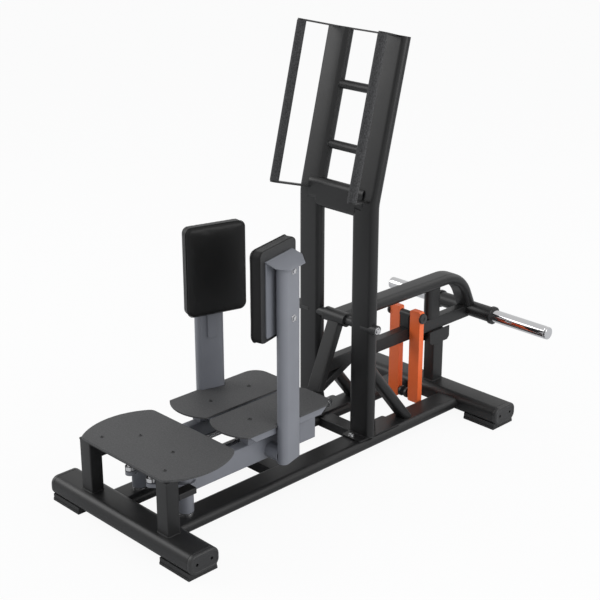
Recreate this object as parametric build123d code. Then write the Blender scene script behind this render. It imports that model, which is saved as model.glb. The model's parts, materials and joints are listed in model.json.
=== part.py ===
from build123d import *
import math
import os

# Standing hip abduction machine, plate loaded. Millimetres.
# x = 0 is the plane of symmetry, +Y runs from the step to the weight horns and z = 0 is the floor.
# The right-hand side is +X. The model is laid out from y = 0 at the front face of the front feet,
# and every node is filed with y = 0 moved to the middle of the overall length.

# ---------------------------------------------------------------- driving dimensions
# Flat-oval tube of the frame and of the pad posts
OVAL_WIDE = 108.0
OVAL_THICK = 42.0
TUBE_WALL = 3.0

# Base crossbars and their ends
CROSSBAR_WIDE = 120.0
CROSSBAR_HIGH = 70.0
CROSSBAR_CORNER = 28.0
CROSSBAR_HALF = 356.0
CROSSBAR_BOTTOM = 17.0
FRONT_BAR_Y = 59.0
REAR_BAR_Y = 1580.0
CAP_DEEP = 18.0
CAP_RECESS = 4.0
CAP_PLUG = 20.0
CAP_PLUG_PLAY = 0.3
CAP_SCREW_SPACING = 95.0
CAP_SCREW_R = 4.0
FOOT_LONG = 146.0
FOOT_WIDE = 118.0
FOOT_HIGH = 25.0
FOOT_INSET = 8.0
FOOT_BASE_HIGH = 9.0
FOOT_LIP = 2.0

# Rails and their ties
RAIL_X = 132.0
RAIL_Z = 51.0
TIE_Y = 630.0
REAR_TIE_Y = 1052.0
WELD_GAP = 0.05
TIE_WIDE = 60.0
TIE_HIGH = 40.0

# Uprights, which stand on the rails and lean back above the bend
UPRIGHT_Y = 1031.0
BASE_PLATE = 6.0
BASE_PLATE_FRONT = 62.0
BASE_PLATE_BACK = 162.0
BASE_PLATE_WIDE = 92.0
BEND_Z = 958.0
BEND_RADIUS = 170.0
LEAN = 14.0
UPRIGHT_TOP_Z = 1520.0
RUNG_R = 16.0
RUNG_Z = (1128.0, 1335.0)
BRACE_WIDE = 60.0
BRACE_THICK = 40.0
BRACE_FOOT_Y = 1296.0
BRACE_TOP_Z = 360.0
GUSSET_THICK = 8.0
GUSSET_HIGH = 58.0
GUSSET_LONG = 46.0

# Hand grips and the straps that carry them
GRIP_X = 190.0
GRIP_R = 16.5
GRIP_LENGTH = 560.0
GRIP_FORWARD = 142.0
GRIP_CORE_R = 11.0
STRAP_THICK = 6.0
STRAP_WIDE = 30.0
TOP_BAR_WIDE = 12.0

# Step
STEP_TOP_Z = 286.0
STEP_THICK = 8.0
STEP_FRONT_Y = 28.0
STEP_DEEP = 304.0
STEP_HALF_FRONT = 214.0
STEP_HALF_MID = 267.0
STEP_CORNER = 26.0
STEP_LEG_X = 202.0
STEP_LEG_WIDE = 56.0
STEP_LEG_DEEP = 50.0
STEP_LEG_CORNER = 4.0
STEP_LEG_Y = 56.0
STEP_RIB_SHARE = 0.72
STEP_RIB_OFFSET = 10.0
STEP_RIB_THICK = 6.0
STEP_SCREW_X = (166.0, 85.0)
STEP_SCREW_Y = (77.0, 176.0)
SCREW_R = 5.0
SCREW_HEAD_R = 8.5
SCREW_HEAD = 3.0
STUB_WIDE = 40.0
STUB_HIGH = 22.0
STUB_LONG = 71.0
STUB_TOP_Z = 222.0

# Swing arm hub: a vertical tube that turns on a pin standing on the rail
HUB_X = 124.0
HUB_Y = 193.0
HUB_R = 26.0
HUB_BOTTOM_Z = 80.0
HUB_TOP_Z = 236.0
HUB_PIN_R = 12.0
BUSH_R = 17.0
BUSH_LONG = 24.0
BUSH_RIM_R = 22.0
BUSH_RIM = 3.0
RUN_CLEAR = 0.05
HUB_NUT_HIGH = 12.0

# Swing arm
ARM_WIDE = 40.0
ARM_HIGH = 80.0
ARM_BOTTOM_Z = 153.0
ARM_REAR_Y = 772.0
STUB_TUBE_R = 28.0
STUB_TUBE_Z = 183.0
RISER_FRONT_Y = 452.0
RISER_REAR_Y = 738.0

# Crank on the hub and push rod to the lever
CRANK_X = 56.0
CRANK_Y = 106.0
CRANK_THICK = 14.0
CRANK_HUB_R = 34.0
CRANK_TIP_R = 17.0
ROD_Z = 203.0
ROD_R = 9.0
EYE_R = 17.0
EYE_WIDE = 16.0
BALL_R = 12.0
BALL_FIT = 0.05
STUD_R = 6.0
ROD_NECK = 3.0
REAR_EYE_X = 44.0
REAR_PIN_R = 6.0
REAR_BALL_R = 10.5
REAR_BALL_ROUND = 3.5
REAR_PLAY = 2.5

# Foot plates
FOOT_PLATE_TOP_Z = 302.0
FOOT_PLATE_THICK = 6.0
FOOT_PLATE_INNER = 9.0
FOOT_PLATE_OUTER = 205.0
FOOT_PLATE_FRONT_Y = 400.0
FOOT_PLATE_BULGE = 35.0
FOOT_PLATE_REAR_Y = 812.0
FOOT_PLATE_CORNER = 58.0
FOOT_SCREW_X = 102.0
FOOT_SCREW_Y = (499.0, 682.0)
TRAY_HIGH = 30.0
TRAY_INSET = 12.0
TRAY_CHAMFER = 34.0
TRAY_FRONT_Y = 412.0
TRAY_REAR_Y = 788.0
TRAY_WALL = 4.0
NOTCH_CLEAR = 3.0

# Pad posts, toed in, and the thigh pads
POST_X = 202.0
POST_Y = 586.0
POST_TOE = 15.0
POST_BOTTOM_Z = 157.0
POST_TOP_Z = 868.0
PAD_RAIL_WIDE = 34.0
PAD_RAIL_THICK = 8.0
PAD_RAIL_BOTTOM_Z = 497.0
PAD_PLATE_LONG = 170.0
PAD_PLATE_THICK = 6.0
PAD_PLATE_BOTTOM_Z = 622.0
PAD_PLATE_TOP_Z = 904.0
HOOD_NOSE = 66.0
HOOD_DROP = 46.0
HOOD_SKIRT = 16.0
PAD_LONG = 228.0
PAD_HIGH = 325.0
PAD_THICK = 50.0
PAD_CORNER = 26.0
PAD_EDGE = 9.0
PAD_CENTRE_Z = 766.0
PAD_BACK_GAP = 0.3
PAD_BOLT_Z = (679.0, 844.0)
PAD_BOLT_R = 5.0
PAD_BOLT_HEAD_R = 9.0
PAD_BOLT_HEAD = 6.0

# Weight lever
PIVOT_Y = 1028.0
PIVOT_Z = 503.0
SLEEVE_R = 26.0
SLEEVE_HALF = 52.0
AXLE_R = 12.5
SPACER_R = 17.0
AXLE_CAP_R = 19.0
AXLE_CAP_DEEP = 14.0
AXLE_BOLT_R = 9.0
AXLE_BOLT_HEAD = 7.0
ARM_TUBE_WIDE = 84.0
ARM_TUBE_THICK = 44.0
ARM_CORNER_Y = 1709.0
ARM_BEND_RADIUS = 150.0
BEAM_WIDE = 40.0
BEAM_HIGH = 50.0
BEAM_Z = 330.0
LEG_WIDE = 56.0
LEG_THICK = 32.0
LEG_FOOT_Y = 917.0
LEG_FOOT_Z = 245.0
LINK_Y = 937.0
LINK_Z = 203.0
LUG_R = 17.0
LUG_WIDE = 26.0
DIAGONAL_TOP_Y = 1112.0
DIAGONAL_THICK = 28.0
STRUT_Y = 1566.0
STRUT_LONG = 76.0
STRUT_THICK = 38.0

# Weight horns on their cross tube
HORN_Y = 1786.0
HORN_Z = 338.0
HORN_R = 25.0
HORN_TIP_X = 406.0
HORN_START_X = 143.0
HORN_HUB_R = 31.0
FLANGE_R = 36.0
FLANGE_THICK = 14.0
HORN_CORE_R = 16.0
HORN_CAP_THICK = 10.0
HORN_CHAMFER = 2.0
HORN_CAP_R = 24.4

# Hanging bars on the beam
HANGER_X = 51.0
HANGER_Y = 1418.0
HANGER_PIN_Z = 408.0
HANGER_WIDE = 50.0
HANGER_THICK = 25.0
HANGER_TOP_Z = 434.0
HANGER_BOTTOM_Z = 54.0
HANGER_WALL = 3.0
HANGER_CORNER = 7.0
HANGER_PIN_R = 8.0
HANGER_BOSS_R = 15.0
HANGER_CAP_R = 20.0
HANGER_CAP_DEEP = 9.0
HANGER_GAP = 1.0
HANGER_PEG_Z = 78.0
PEG_HALF_GAP = 9.0

# Rear post and the rest that the lever lies on
REST_Y = 1586.0
REST_WIDE = 50.0
REST_LONG = 60.0
REST_PAD_HIGH = 12.0
REST_SIDE = 4.0
REST_SIDE_HIGH = 56.0
REST_SIDE_LONG = 118.0
REST_GAP = 0.3

# ---------------------------------------------------------------- derived levels
RAIL_TOP_Z = RAIL_Z + OVAL_THICK / 2
CROSSBAR_Z = CROSSBAR_BOTTOM + CROSSBAR_HIGH / 2
CROSSBAR_TOP_Z = CROSSBAR_BOTTOM + CROSSBAR_HIGH
STEP_UNDER_Z = STEP_TOP_Z - STEP_THICK
ARM_TOP_Z = ARM_BOTTOM_Z + ARM_HIGH
PLATE_UNDER_Z = FOOT_PLATE_TOP_Z - FOOT_PLATE_THICK
TRAY_UNDER_Z = PLATE_UNDER_Z - TRAY_HIGH
BEAM_BOTTOM_Z = BEAM_Z - BEAM_HIGH / 2
BEAM_TOP_Z = BEAM_Z + BEAM_HIGH / 2
CRANK_TOP_Z = ROD_Z - EYE_WIDE / 2 - 2.0
LENGTH_FRONT_Y = FRONT_BAR_Y - CROSSBAR_WIDE / 2
LENGTH_REAR_Y = HORN_Y + FLANGE_R
ORIGIN_Y = (LENGTH_FRONT_Y + LENGTH_REAR_Y) / 2
LEAN_RAD = math.radians(LEAN)
LEAN_DIR = Vector(0, math.sin(LEAN_RAD), math.cos(LEAN_RAD))
LEAN_FORWARD = Vector(0, -math.cos(LEAN_RAD), math.sin(LEAN_RAD))

PARTS = {}


# ---------------------------------------------------------------- shared shapes
def flat_oval(wide, thick, wall=0.0):
    """Flat-oval section, wide along X; with a wall it is the ring of a tube."""
    outer = SlotOverall(wide, thick)
    if wall == 0.0:
        return outer
    return outer - SlotOverall(wide - 2 * wall, thick - 2 * wall)


def box_section(wide, thick, wall=0.0, corner=4.0):
    """Rounded rectangular section; with a wall it is the ring of a tube."""
    outer = RectangleRounded(wide, thick, corner)
    if wall == 0.0:
        return outer
    return outer - Rectangle(wide - 2 * wall, thick - 2 * wall)


def along(start, end, section, x_dir=(1, 0, 0)):
    """Extrude a section from start to end; x_dir is the section's X in space."""
    start = Vector(*start)
    end = Vector(*end)
    plane = Plane(origin=start, x_dir=x_dir, z_dir=end - start)
    return extrude(plane * section, amount=(end - start).length)


def cylinder_x(x_from, x_to, y, z, radius, bore=0.0):
    """Round bar or tube along X."""
    ring = Circle(radius) if bore == 0.0 else Circle(radius) - Circle(bore)
    return along((x_from, y, z), (x_to, y, z), ring, (0, 1, 0))


def cylinder_z(x, y, z_from, z_to, radius, bore=0.0):
    """Round bar or tube along Z."""
    ring = Circle(radius) if bore == 0.0 else Circle(radius) - Circle(bore)
    return along((x, y, z_from), (x, y, z_to), ring)


def swept(points, radius, section):
    """Sweep a section, wide along X, along bent straight runs in a plane of constant x."""
    path = FilletPolyline(*points, radius=radius)
    start = Plane(origin=path @ 0, x_dir=(1, 0, 0), z_dir=path % 0)
    return sweep(start * section, path=path)


def mirrored(shape):
    """The same piece on the other side of the machine."""
    return mirror(shape, about=Plane.YZ)


def put(name, *solids):
    """File one node: a single solid or a group of separate ones."""
    PARTS[name] = solids[0] if len(solids) == 1 else Compound(children=list(solids))


def put_pair(name, *solids):
    """File a node on the right and its mirror image on the left."""
    put("right_" + name, *solids)
    put("left_" + name, *[mirrored(s) for s in solids])


def put_both(name, *solids):
    """File one node that holds the pieces of both sides."""
    put(name, *solids, *[mirrored(s) for s in solids])


# ---------------------------------------------------------------- base
def crossbar_section(wall=0.0, grow=0.0):
    outer = RectangleRounded(CROSSBAR_WIDE + 2 * grow, CROSSBAR_HIGH + 2 * grow, CROSSBAR_CORNER + grow)
    if wall == 0.0:
        return outer
    inner = RectangleRounded(CROSSBAR_WIDE - 2 * wall, CROSSBAR_HIGH - 2 * wall, CROSSBAR_CORNER - wall)
    return outer - inner


def crossbar_solid(y, half, wall=0.0, grow=0.0):
    return along((-half, y, CROSSBAR_Z), (half, y, CROSSBAR_Z), crossbar_section(wall, grow), (0, 1, 0))


def end_cap(y):
    """Moulded end cap on the right: outer shell, recessed face with two screw holes and a plug."""
    outer = CROSSBAR_HALF + CAP_DEEP
    cap = along((CROSSBAR_HALF, y, CROSSBAR_Z), (outer, y, CROSSBAR_Z), crossbar_section(), (0, 1, 0))
    cap = chamfer(cap.faces().sort_by(Axis.X)[-1].edges(), CAP_RECESS / 2)
    cap += along((CROSSBAR_HALF - CAP_PLUG, y, CROSSBAR_Z), (CROSSBAR_HALF, y, CROSSBAR_Z),
                 crossbar_section(grow=-TUBE_WALL - CAP_PLUG_PLAY), (0, 1, 0))
    for side in (-1, 1):
        hole_y = y + side * CAP_SCREW_SPACING / 2
        cap -= cylinder_x(outer - CAP_RECESS * 2, outer, hole_y, CROSSBAR_Z, CAP_SCREW_R)
    return cap


def foot(y):
    """Two-layer rubber block under the right end, cradling the crossbar."""
    x_outer = CROSSBAR_HALF + FOOT_INSET
    x_mid = x_outer - FOOT_LONG / 2
    block = Pos(x_mid, y, FOOT_HIGH / 2) * Box(FOOT_LONG, FOOT_WIDE - 2 * FOOT_LIP, FOOT_HIGH)
    base = Pos(x_mid, y, FOOT_BASE_HIGH / 2) * Box(FOOT_LONG, FOOT_WIDE, FOOT_BASE_HIGH)
    return block + base - crossbar_solid(y, CROSSBAR_HALF + CAP_DEEP)


def build_base():
    bars = []
    for name, y in (("front_crossbar", FRONT_BAR_Y), ("rear_crossbar", REAR_BAR_Y)):
        put(name, crossbar_solid(y, CROSSBAR_HALF, TUBE_WALL))
        bars.append(crossbar_solid(y, CROSSBAR_HALF, grow=WELD_GAP))
    caps = [end_cap(y) for y in (FRONT_BAR_Y, REAR_BAR_Y)]
    put("crossbar_end_caps", *caps, *[mirrored(c) for c in caps])
    feet = [foot(y) for y in (FRONT_BAR_Y, REAR_BAR_Y)]
    put("rubber_feet", *feet, *[mirrored(f) for f in feet])

    rail = along((RAIL_X, FRONT_BAR_Y, RAIL_Z), (RAIL_X, REAR_BAR_Y, RAIL_Z),
                 flat_oval(OVAL_WIDE, OVAL_THICK, TUBE_WALL))
    for bar in bars:
        rail -= bar
    put_both("base_rails", rail)

    rail_solid = along((RAIL_X, FRONT_BAR_Y, RAIL_Z), (RAIL_X, REAR_BAR_Y, RAIL_Z),
                       flat_oval(OVAL_WIDE, OVAL_THICK))
    ties = []
    for y in (TIE_Y, REAR_TIE_Y):
        tie = along((-RAIL_X, y, RAIL_Z), (RAIL_X, y, RAIL_Z),
                    box_section(TIE_WIDE, TIE_HIGH, TUBE_WALL), (0, 1, 0))
        ties.append(tie - rail_solid - mirrored(rail_solid))
    put("rail_ties", *ties)


# ---------------------------------------------------------------- uprights and hand grips
def lean_point(x, z):
    """Point on the upright's centre line above the bend."""
    return Vector(x, UPRIGHT_Y + (z - BEND_Z) * math.tan(LEAN_RAD), z)


def upright(x, wall, bottom=RAIL_TOP_Z + BASE_PLATE):
    points = [(x, UPRIGHT_Y, bottom), (x, UPRIGHT_Y, BEND_Z), tuple(lean_point(x, UPRIGHT_TOP_Z))]
    return swept(points, BEND_RADIUS, flat_oval(OVAL_WIDE, OVAL_THICK, wall))


def build_uprights():
    axle_hole = cylinder_x(RAIL_X - OVAL_WIDE, RAIL_X + OVAL_WIDE, PIVOT_Y, PIVOT_Z, AXLE_R)
    post = upright(RAIL_X, TUBE_WALL) - axle_hole
    put_both("uprights", post)
    solid = upright(RAIL_X, 0.0)

    plate_long = BASE_PLATE_FRONT + BASE_PLATE_BACK
    plate_y = UPRIGHT_Y + (BASE_PLATE_BACK - BASE_PLATE_FRONT) / 2
    plate = Pos(RAIL_X, plate_y, RAIL_TOP_Z + BASE_PLATE / 2) * Box(BASE_PLATE_WIDE, plate_long, BASE_PLATE)
    plate = fillet(plate.edges().filter_by(Axis.Z), 10)
    plate_top = RAIL_TOP_Z + BASE_PLATE
    gusset_y = UPRIGHT_Y + OVAL_THICK / 2
    gusset = Pos(RAIL_X, gusset_y + GUSSET_LONG / 2, plate_top + GUSSET_HIGH / 2) * Box(
        GUSSET_THICK, GUSSET_LONG, GUSSET_HIGH)
    corner = gusset.edges().filter_by(Axis.X).sort_by(Axis.Z)[-2:].sort_by(Axis.Y)[-1]
    gusset = chamfer(corner, GUSSET_LONG * 0.7)
    put_both("upright_base_plates", plate + gusset)

    brace = along((RAIL_X, BRACE_FOOT_Y, RAIL_Z - OVAL_THICK / 2), (RAIL_X, UPRIGHT_Y, BRACE_TOP_Z),
                  flat_oval(BRACE_WIDE, BRACE_THICK, TUBE_WALL))
    brace_floor = Pos(RAIL_X, BRACE_FOOT_Y, RAIL_TOP_Z / 2) * Box(BRACE_WIDE * 2, BRACE_TOP_Z, RAIL_TOP_Z)
    brace = brace - brace_floor - solid - (plate + gusset)
    brace = brace.solids().sort_by(SortBy.VOLUME)[-1]
    put_both("upright_braces", brace)

    bend_tie = along((-RAIL_X, UPRIGHT_Y, BEND_Z), (RAIL_X, UPRIGHT_Y, BEND_Z),
                     flat_oval(OVAL_WIDE, OVAL_THICK, TUBE_WALL), (0, 0, 1))
    rungs = [bend_tie - solid - mirrored(solid)]
    for z in RUNG_Z:
        mid = lean_point(0, z)
        rung = cylinder_x(-RAIL_X, RAIL_X, mid.Y, z, RUNG_R, RUNG_R - TUBE_WALL)
        rungs.append(rung - solid - mirrored(solid))
    put("ladder_cross_tubes", *rungs)


def strap(anchor):
    """Flat bar square to the leaning upright, from its anchor out to the grip's axis."""
    plane = Plane(origin=anchor, x_dir=(1, 0, 0), z_dir=LEAN_DIR)
    reach = GRIP_X - RAIL_X
    run = math.hypot(reach, GRIP_FORWARD)
    angle = math.degrees(math.atan2(-GRIP_FORWARD, reach))
    bar = Rot(0, 0, angle) * Pos(run / 2, 0) * SlotOverall(run + STRAP_WIDE, STRAP_WIDE)
    return plane, bar


def build_grips():
    top = lean_point(RAIL_X, UPRIGHT_TOP_Z)
    low = top - LEAN_DIR * (GRIP_LENGTH + 2 * STRAP_THICK)
    plane, bar = strap(top)
    lid = bar + SlotOverall(OVAL_WIDE, OVAL_THICK)
    lid = extrude(plane * lid, amount=STRAP_THICK)
    across = (0, math.cos(LEAN_RAD), -math.sin(LEAN_RAD))
    middle = top + LEAN_DIR * STRAP_THICK / 2
    lid += along(tuple(middle - Vector(RAIL_X, 0, 0)), tuple(middle),
                 Rectangle(TOP_BAR_WIDE, STRAP_THICK), across)

    plane, bar = strap(low)
    bend_tie = along((0, UPRIGHT_Y, BEND_Z), (RAIL_X, UPRIGHT_Y, BEND_Z),
                     flat_oval(OVAL_WIDE, OVAL_THICK), (0, 0, 1))
    low_strap = extrude(plane * bar, amount=STRAP_THICK) - upright(RAIL_X, 0.0) - bend_tie
    low_strap = low_strap.solids().sort_by(Axis.Y)[0]

    grip_low = low + Vector(GRIP_X - RAIL_X, 0, 0) + LEAN_FORWARD * GRIP_FORWARD + LEAN_DIR * STRAP_THICK
    grip_top = grip_low + LEAN_DIR * (GRIP_LENGTH + STRAP_THICK)
    core = along(tuple(grip_low), tuple(grip_top), Circle(GRIP_CORE_R))
    put("grip_frame", lid + mirrored(lid), low_strap, mirrored(low_strap), core, mirrored(core))
    grip = along(tuple(grip_low), tuple(grip_top), Circle(GRIP_R) - Circle(GRIP_CORE_R))
    put_both("hand_grips", grip)


# ---------------------------------------------------------------- step
def step_outline():
    """Plan of the step: straight front and rear, sides that bulge outward."""
    front = STEP_FRONT_Y
    rear = front + STEP_DEEP
    mid = (front + rear) / 2
    with BuildSketch() as sketch:
        with BuildLine():
            a = (STEP_HALF_FRONT, front)
            b = (STEP_HALF_FRONT, rear)
            c = (-STEP_HALF_FRONT, rear)
            d = (-STEP_HALF_FRONT, front)
            Line(d, a)
            ThreePointArc(a, (STEP_HALF_MID, mid), b)
            Line(b, c)
            ThreePointArc(c, (-STEP_HALF_MID, mid), d)
        make_face()
        fillet(sketch.vertices(), STEP_CORNER)
    return sketch.sketch


def screw(x, y, z_face, depth):
    """Button head screw seen from above, with its shank."""
    head = cylinder_z(x, y, z_face, z_face + SCREW_HEAD, SCREW_HEAD_R)
    head = chamfer(head.faces().sort_by(Axis.Z)[-1].edges(), SCREW_HEAD * 0.5)
    return head + cylinder_z(x, y, z_face - depth, z_face, SCREW_R)


def build_step():
    plate = Pos(0, 0, STEP_UNDER_Z) * extrude(step_outline(), amount=STEP_THICK)
    spots = [(s * x, y) for x, y in zip(STEP_SCREW_X, STEP_SCREW_Y) for s in (-1, 1)]
    for x, y in spots:
        plate -= cylinder_z(x, y, STEP_UNDER_Z, STEP_TOP_Z, SCREW_R)
    put("step_plate", plate)

    crossbar = crossbar_solid(FRONT_BAR_Y, CROSSBAR_HALF)
    rib_depth = STEP_DEEP * STEP_RIB_SHARE
    leg = along((STEP_LEG_X, STEP_LEG_Y, CROSSBAR_Z), (STEP_LEG_X, STEP_LEG_Y, STEP_UNDER_Z - STEP_RIB_THICK),
                box_section(STEP_LEG_WIDE, STEP_LEG_DEEP, TUBE_WALL, STEP_LEG_CORNER)) - crossbar
    leg_front = STEP_LEG_Y - STEP_LEG_DEEP / 2
    rib_x = STEP_SCREW_X[1] + STEP_RIB_OFFSET
    bearer = Pos(0, leg_front + STEP_LEG_DEEP / 2, STEP_UNDER_Z - STEP_RIB_THICK / 2) * Box(
        2 * STEP_LEG_X + STEP_LEG_WIDE, STEP_LEG_DEEP, STEP_RIB_THICK)
    for side in (-1, 1):
        bearer += Pos(side * rib_x, leg_front + rib_depth / 2, STEP_UNDER_Z - STEP_RIB_THICK / 2) * Box(
            STEP_LEG_DEEP, rib_depth, STEP_RIB_THICK)
    for x, y in spots:
        bearer -= cylinder_z(x, y, 0, STEP_TOP_Z, SCREW_R)
    put("step_screws", *[screw(x, y, STEP_TOP_Z, STEP_THICK + STEP_RIB_THICK) for x, y in spots])

    stub_x = STEP_LEG_X + STEP_LEG_WIDE / 2 - STUB_WIDE / 2
    stub = along((stub_x, STEP_LEG_Y + STEP_LEG_DEEP / 2, STUB_TOP_Z - STUB_HIGH / 2),
                 (stub_x, STEP_LEG_Y + STEP_LEG_DEEP / 2 + STUB_LONG, STUB_TOP_Z - STUB_HIGH / 2),
                 box_section(STUB_WIDE, STUB_HIGH, 0.0, 3.0))
    leg_and_stub = leg + stub
    put("step_legs", bearer, leg_and_stub, mirrored(leg_and_stub))


# ---------------------------------------------------------------- hub and swing arm
def build_hubs():
    """The pin stands on the rail; the tube turns on two bushes."""
    pin = cylinder_z(HUB_X, HUB_Y, HUB_BOTTOM_Z - BUSH_RIM, HUB_TOP_Z + BUSH_RIM + HUB_NUT_HIGH, HUB_PIN_R)
    foot_disc = cylinder_z(HUB_X, HUB_Y, RAIL_TOP_Z, HUB_BOTTOM_Z - BUSH_RIM, HUB_R)
    nut_z = HUB_TOP_Z + BUSH_RIM
    nut = extrude(Plane((HUB_X, HUB_Y, nut_z)) * RegularPolygon(HUB_PIN_R * 1.7, 6), amount=HUB_NUT_HIGH)
    nut -= cylinder_z(HUB_X, HUB_Y, nut_z, nut_z + HUB_NUT_HIGH, HUB_PIN_R)
    put_both("hub_pins", pin + foot_disc, nut)

    tube = cylinder_z(HUB_X, HUB_Y, HUB_BOTTOM_Z, HUB_TOP_Z, HUB_R, HUB_PIN_R + 2)
    bushes = []
    for z, direction in ((HUB_BOTTOM_Z, 1), (HUB_TOP_Z, -1)):
        tube -= cylinder_z(HUB_X, HUB_Y, min(z, z + direction * BUSH_LONG), max(z, z + direction * BUSH_LONG), BUSH_R)
        bush = cylinder_z(HUB_X, HUB_Y, min(z, z + direction * BUSH_LONG), max(z, z + direction * BUSH_LONG),
                          BUSH_R, HUB_PIN_R + RUN_CLEAR)
        rim_z = z - direction * (BUSH_RIM - RUN_CLEAR)
        bush += cylinder_z(HUB_X, HUB_Y, min(z, rim_z), max(z, rim_z), BUSH_RIM_R, HUB_PIN_R + RUN_CLEAR)
        bushes.append(bush)
    put_pair("hub_bushes", *bushes)
    return tube


def crank_plate():
    """Tapered plate crank, welded round the hub."""
    z_low = CRANK_TOP_Z - CRANK_THICK
    with BuildSketch(Plane.XY.offset(z_low)) as sketch:
        with Locations((HUB_X, HUB_Y)):
            Circle(CRANK_HUB_R)
        with Locations((CRANK_X, CRANK_Y)):
            Circle(CRANK_TIP_R)
        make_hull()
    return extrude(sketch.sketch, amount=CRANK_THICK)


def build_arms():
    tube = build_hubs()
    hub_solid = cylinder_z(HUB_X, HUB_Y, HUB_BOTTOM_Z, HUB_TOP_Z, HUB_R)
    arm = along((HUB_X, HUB_Y, ARM_BOTTOM_Z + ARM_HIGH / 2), (HUB_X, ARM_REAR_Y, ARM_BOTTOM_Z + ARM_HIGH / 2),
                box_section(ARM_WIDE, ARM_HIGH, TUBE_WALL)) - hub_solid
    crank = crank_plate() - hub_solid
    crank -= cylinder_z(CRANK_X, CRANK_Y, 0, ROD_Z, STUD_R)
    arm = (arm - crank_plate()).solids().sort_by(SortBy.VOLUME)[-1]
    put_pair("swing_arm", arm)
    put_pair("arm_hub", tube, crank)

    post = post_local() * along((0, 0, POST_BOTTOM_Z), (0, 0, POST_TOP_Z),
                                flat_oval(OVAL_WIDE, OVAL_THICK), (0, 1, 0))
    stub = cylinder_x(HUB_X + ARM_WIDE / 2, POST_X, POST_Y - 30, STUB_TUBE_Z, STUB_TUBE_R, STUB_TUBE_R - TUBE_WALL)
    stub = (stub - post).solids().sort_by(Axis.X)[0]
    shell = post_local() * along((0, 0, POST_BOTTOM_Z), (0, 0, POST_TOP_Z),
                                 flat_oval(OVAL_WIDE, OVAL_THICK, TUBE_WALL), (0, 1, 0))
    put_pair("pad_post", shell, stub)


def foot_plate_outline(inset=0.0):
    """Plan of the right foot plate: bulged front, straight sides, rounded rear corners."""
    inner = FOOT_PLATE_INNER + inset
    outer = FOOT_PLATE_OUTER - inset
    mid = (inner + outer) / 2
    with BuildSketch() as sketch:
        with BuildLine():
            Line((outer, FOOT_PLATE_FRONT_Y), (outer, FOOT_PLATE_REAR_Y))
            Line((outer, FOOT_PLATE_REAR_Y), (inner, FOOT_PLATE_REAR_Y))
            Line((inner, FOOT_PLATE_REAR_Y), (inner, FOOT_PLATE_FRONT_Y))
            ThreePointArc((inner, FOOT_PLATE_FRONT_Y), (mid, FOOT_PLATE_FRONT_Y - FOOT_PLATE_BULGE),
                          (outer, FOOT_PLATE_FRONT_Y))
        make_face()
        fillet(sketch.vertices().group_by(Axis.Y)[-1], FOOT_PLATE_CORNER)
        fillet(sketch.vertices().group_by(Axis.Y)[0], 6)
    return sketch.sketch


def tray_solid(shrink=0.0):
    """Trapezoid under the foot plate, chamfered at both ends."""
    y0 = TRAY_FRONT_Y + shrink
    y1 = TRAY_REAR_Y - shrink
    z0 = TRAY_UNDER_Z + shrink
    cut = TRAY_CHAMFER
    x0 = FOOT_PLATE_INNER + TRAY_INSET + shrink
    x1 = FOOT_PLATE_OUTER - TRAY_INSET - shrink
    profile = Polygon((y0, PLATE_UNDER_Z), (y0 + cut, z0), (y1 - cut, z0), (y1, PLATE_UNDER_Z), align=None)
    return extrude(Plane(origin=(x0, 0, 0), x_dir=(0, 1, 0), z_dir=(1, 0, 0)) * profile, amount=x1 - x0)


def build_foot_plates():
    notch = post_local() * along((0, 0, POST_BOTTOM_Z), (0, 0, POST_TOP_Z),
                                 flat_oval(OVAL_WIDE + 2 * NOTCH_CLEAR, OVAL_THICK + 2 * NOTCH_CLEAR), (0, 1, 0))
    plate = Pos(0, 0, PLATE_UNDER_Z) * extrude(foot_plate_outline(), amount=FOOT_PLATE_THICK) - notch
    plate = plate.solids().sort_by(SortBy.VOLUME)[-1]
    tray = tray_solid() - tray_solid(TRAY_WALL) - notch
    tray = tray.solids().sort_by(SortBy.VOLUME)[-1]
    for y in FOOT_SCREW_Y:
        plate -= cylinder_z(FOOT_SCREW_X, y, 0, FOOT_PLATE_TOP_Z, SCREW_R)
    riser = along((HUB_X, RISER_FRONT_Y, (ARM_TOP_Z + TRAY_UNDER_Z) / 2),
                  (HUB_X, RISER_REAR_Y, (ARM_TOP_Z + TRAY_UNDER_Z) / 2),
                  Rectangle(ARM_WIDE, TRAY_UNDER_Z - ARM_TOP_Z))
    screws = [screw(FOOT_SCREW_X, y, FOOT_PLATE_TOP_Z, FOOT_PLATE_THICK) for y in FOOT_SCREW_Y]
    put_pair("foot_plate", plate)
    put_pair("foot_tray", tray + riser)
    return screws


# ---------------------------------------------------------------- posts and pads
def post_local():
    """Frame of the right post: X points outward across the post, Y along its wide side."""
    return Location((POST_X, POST_Y, 0), (0, 0, POST_TOE))


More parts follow.
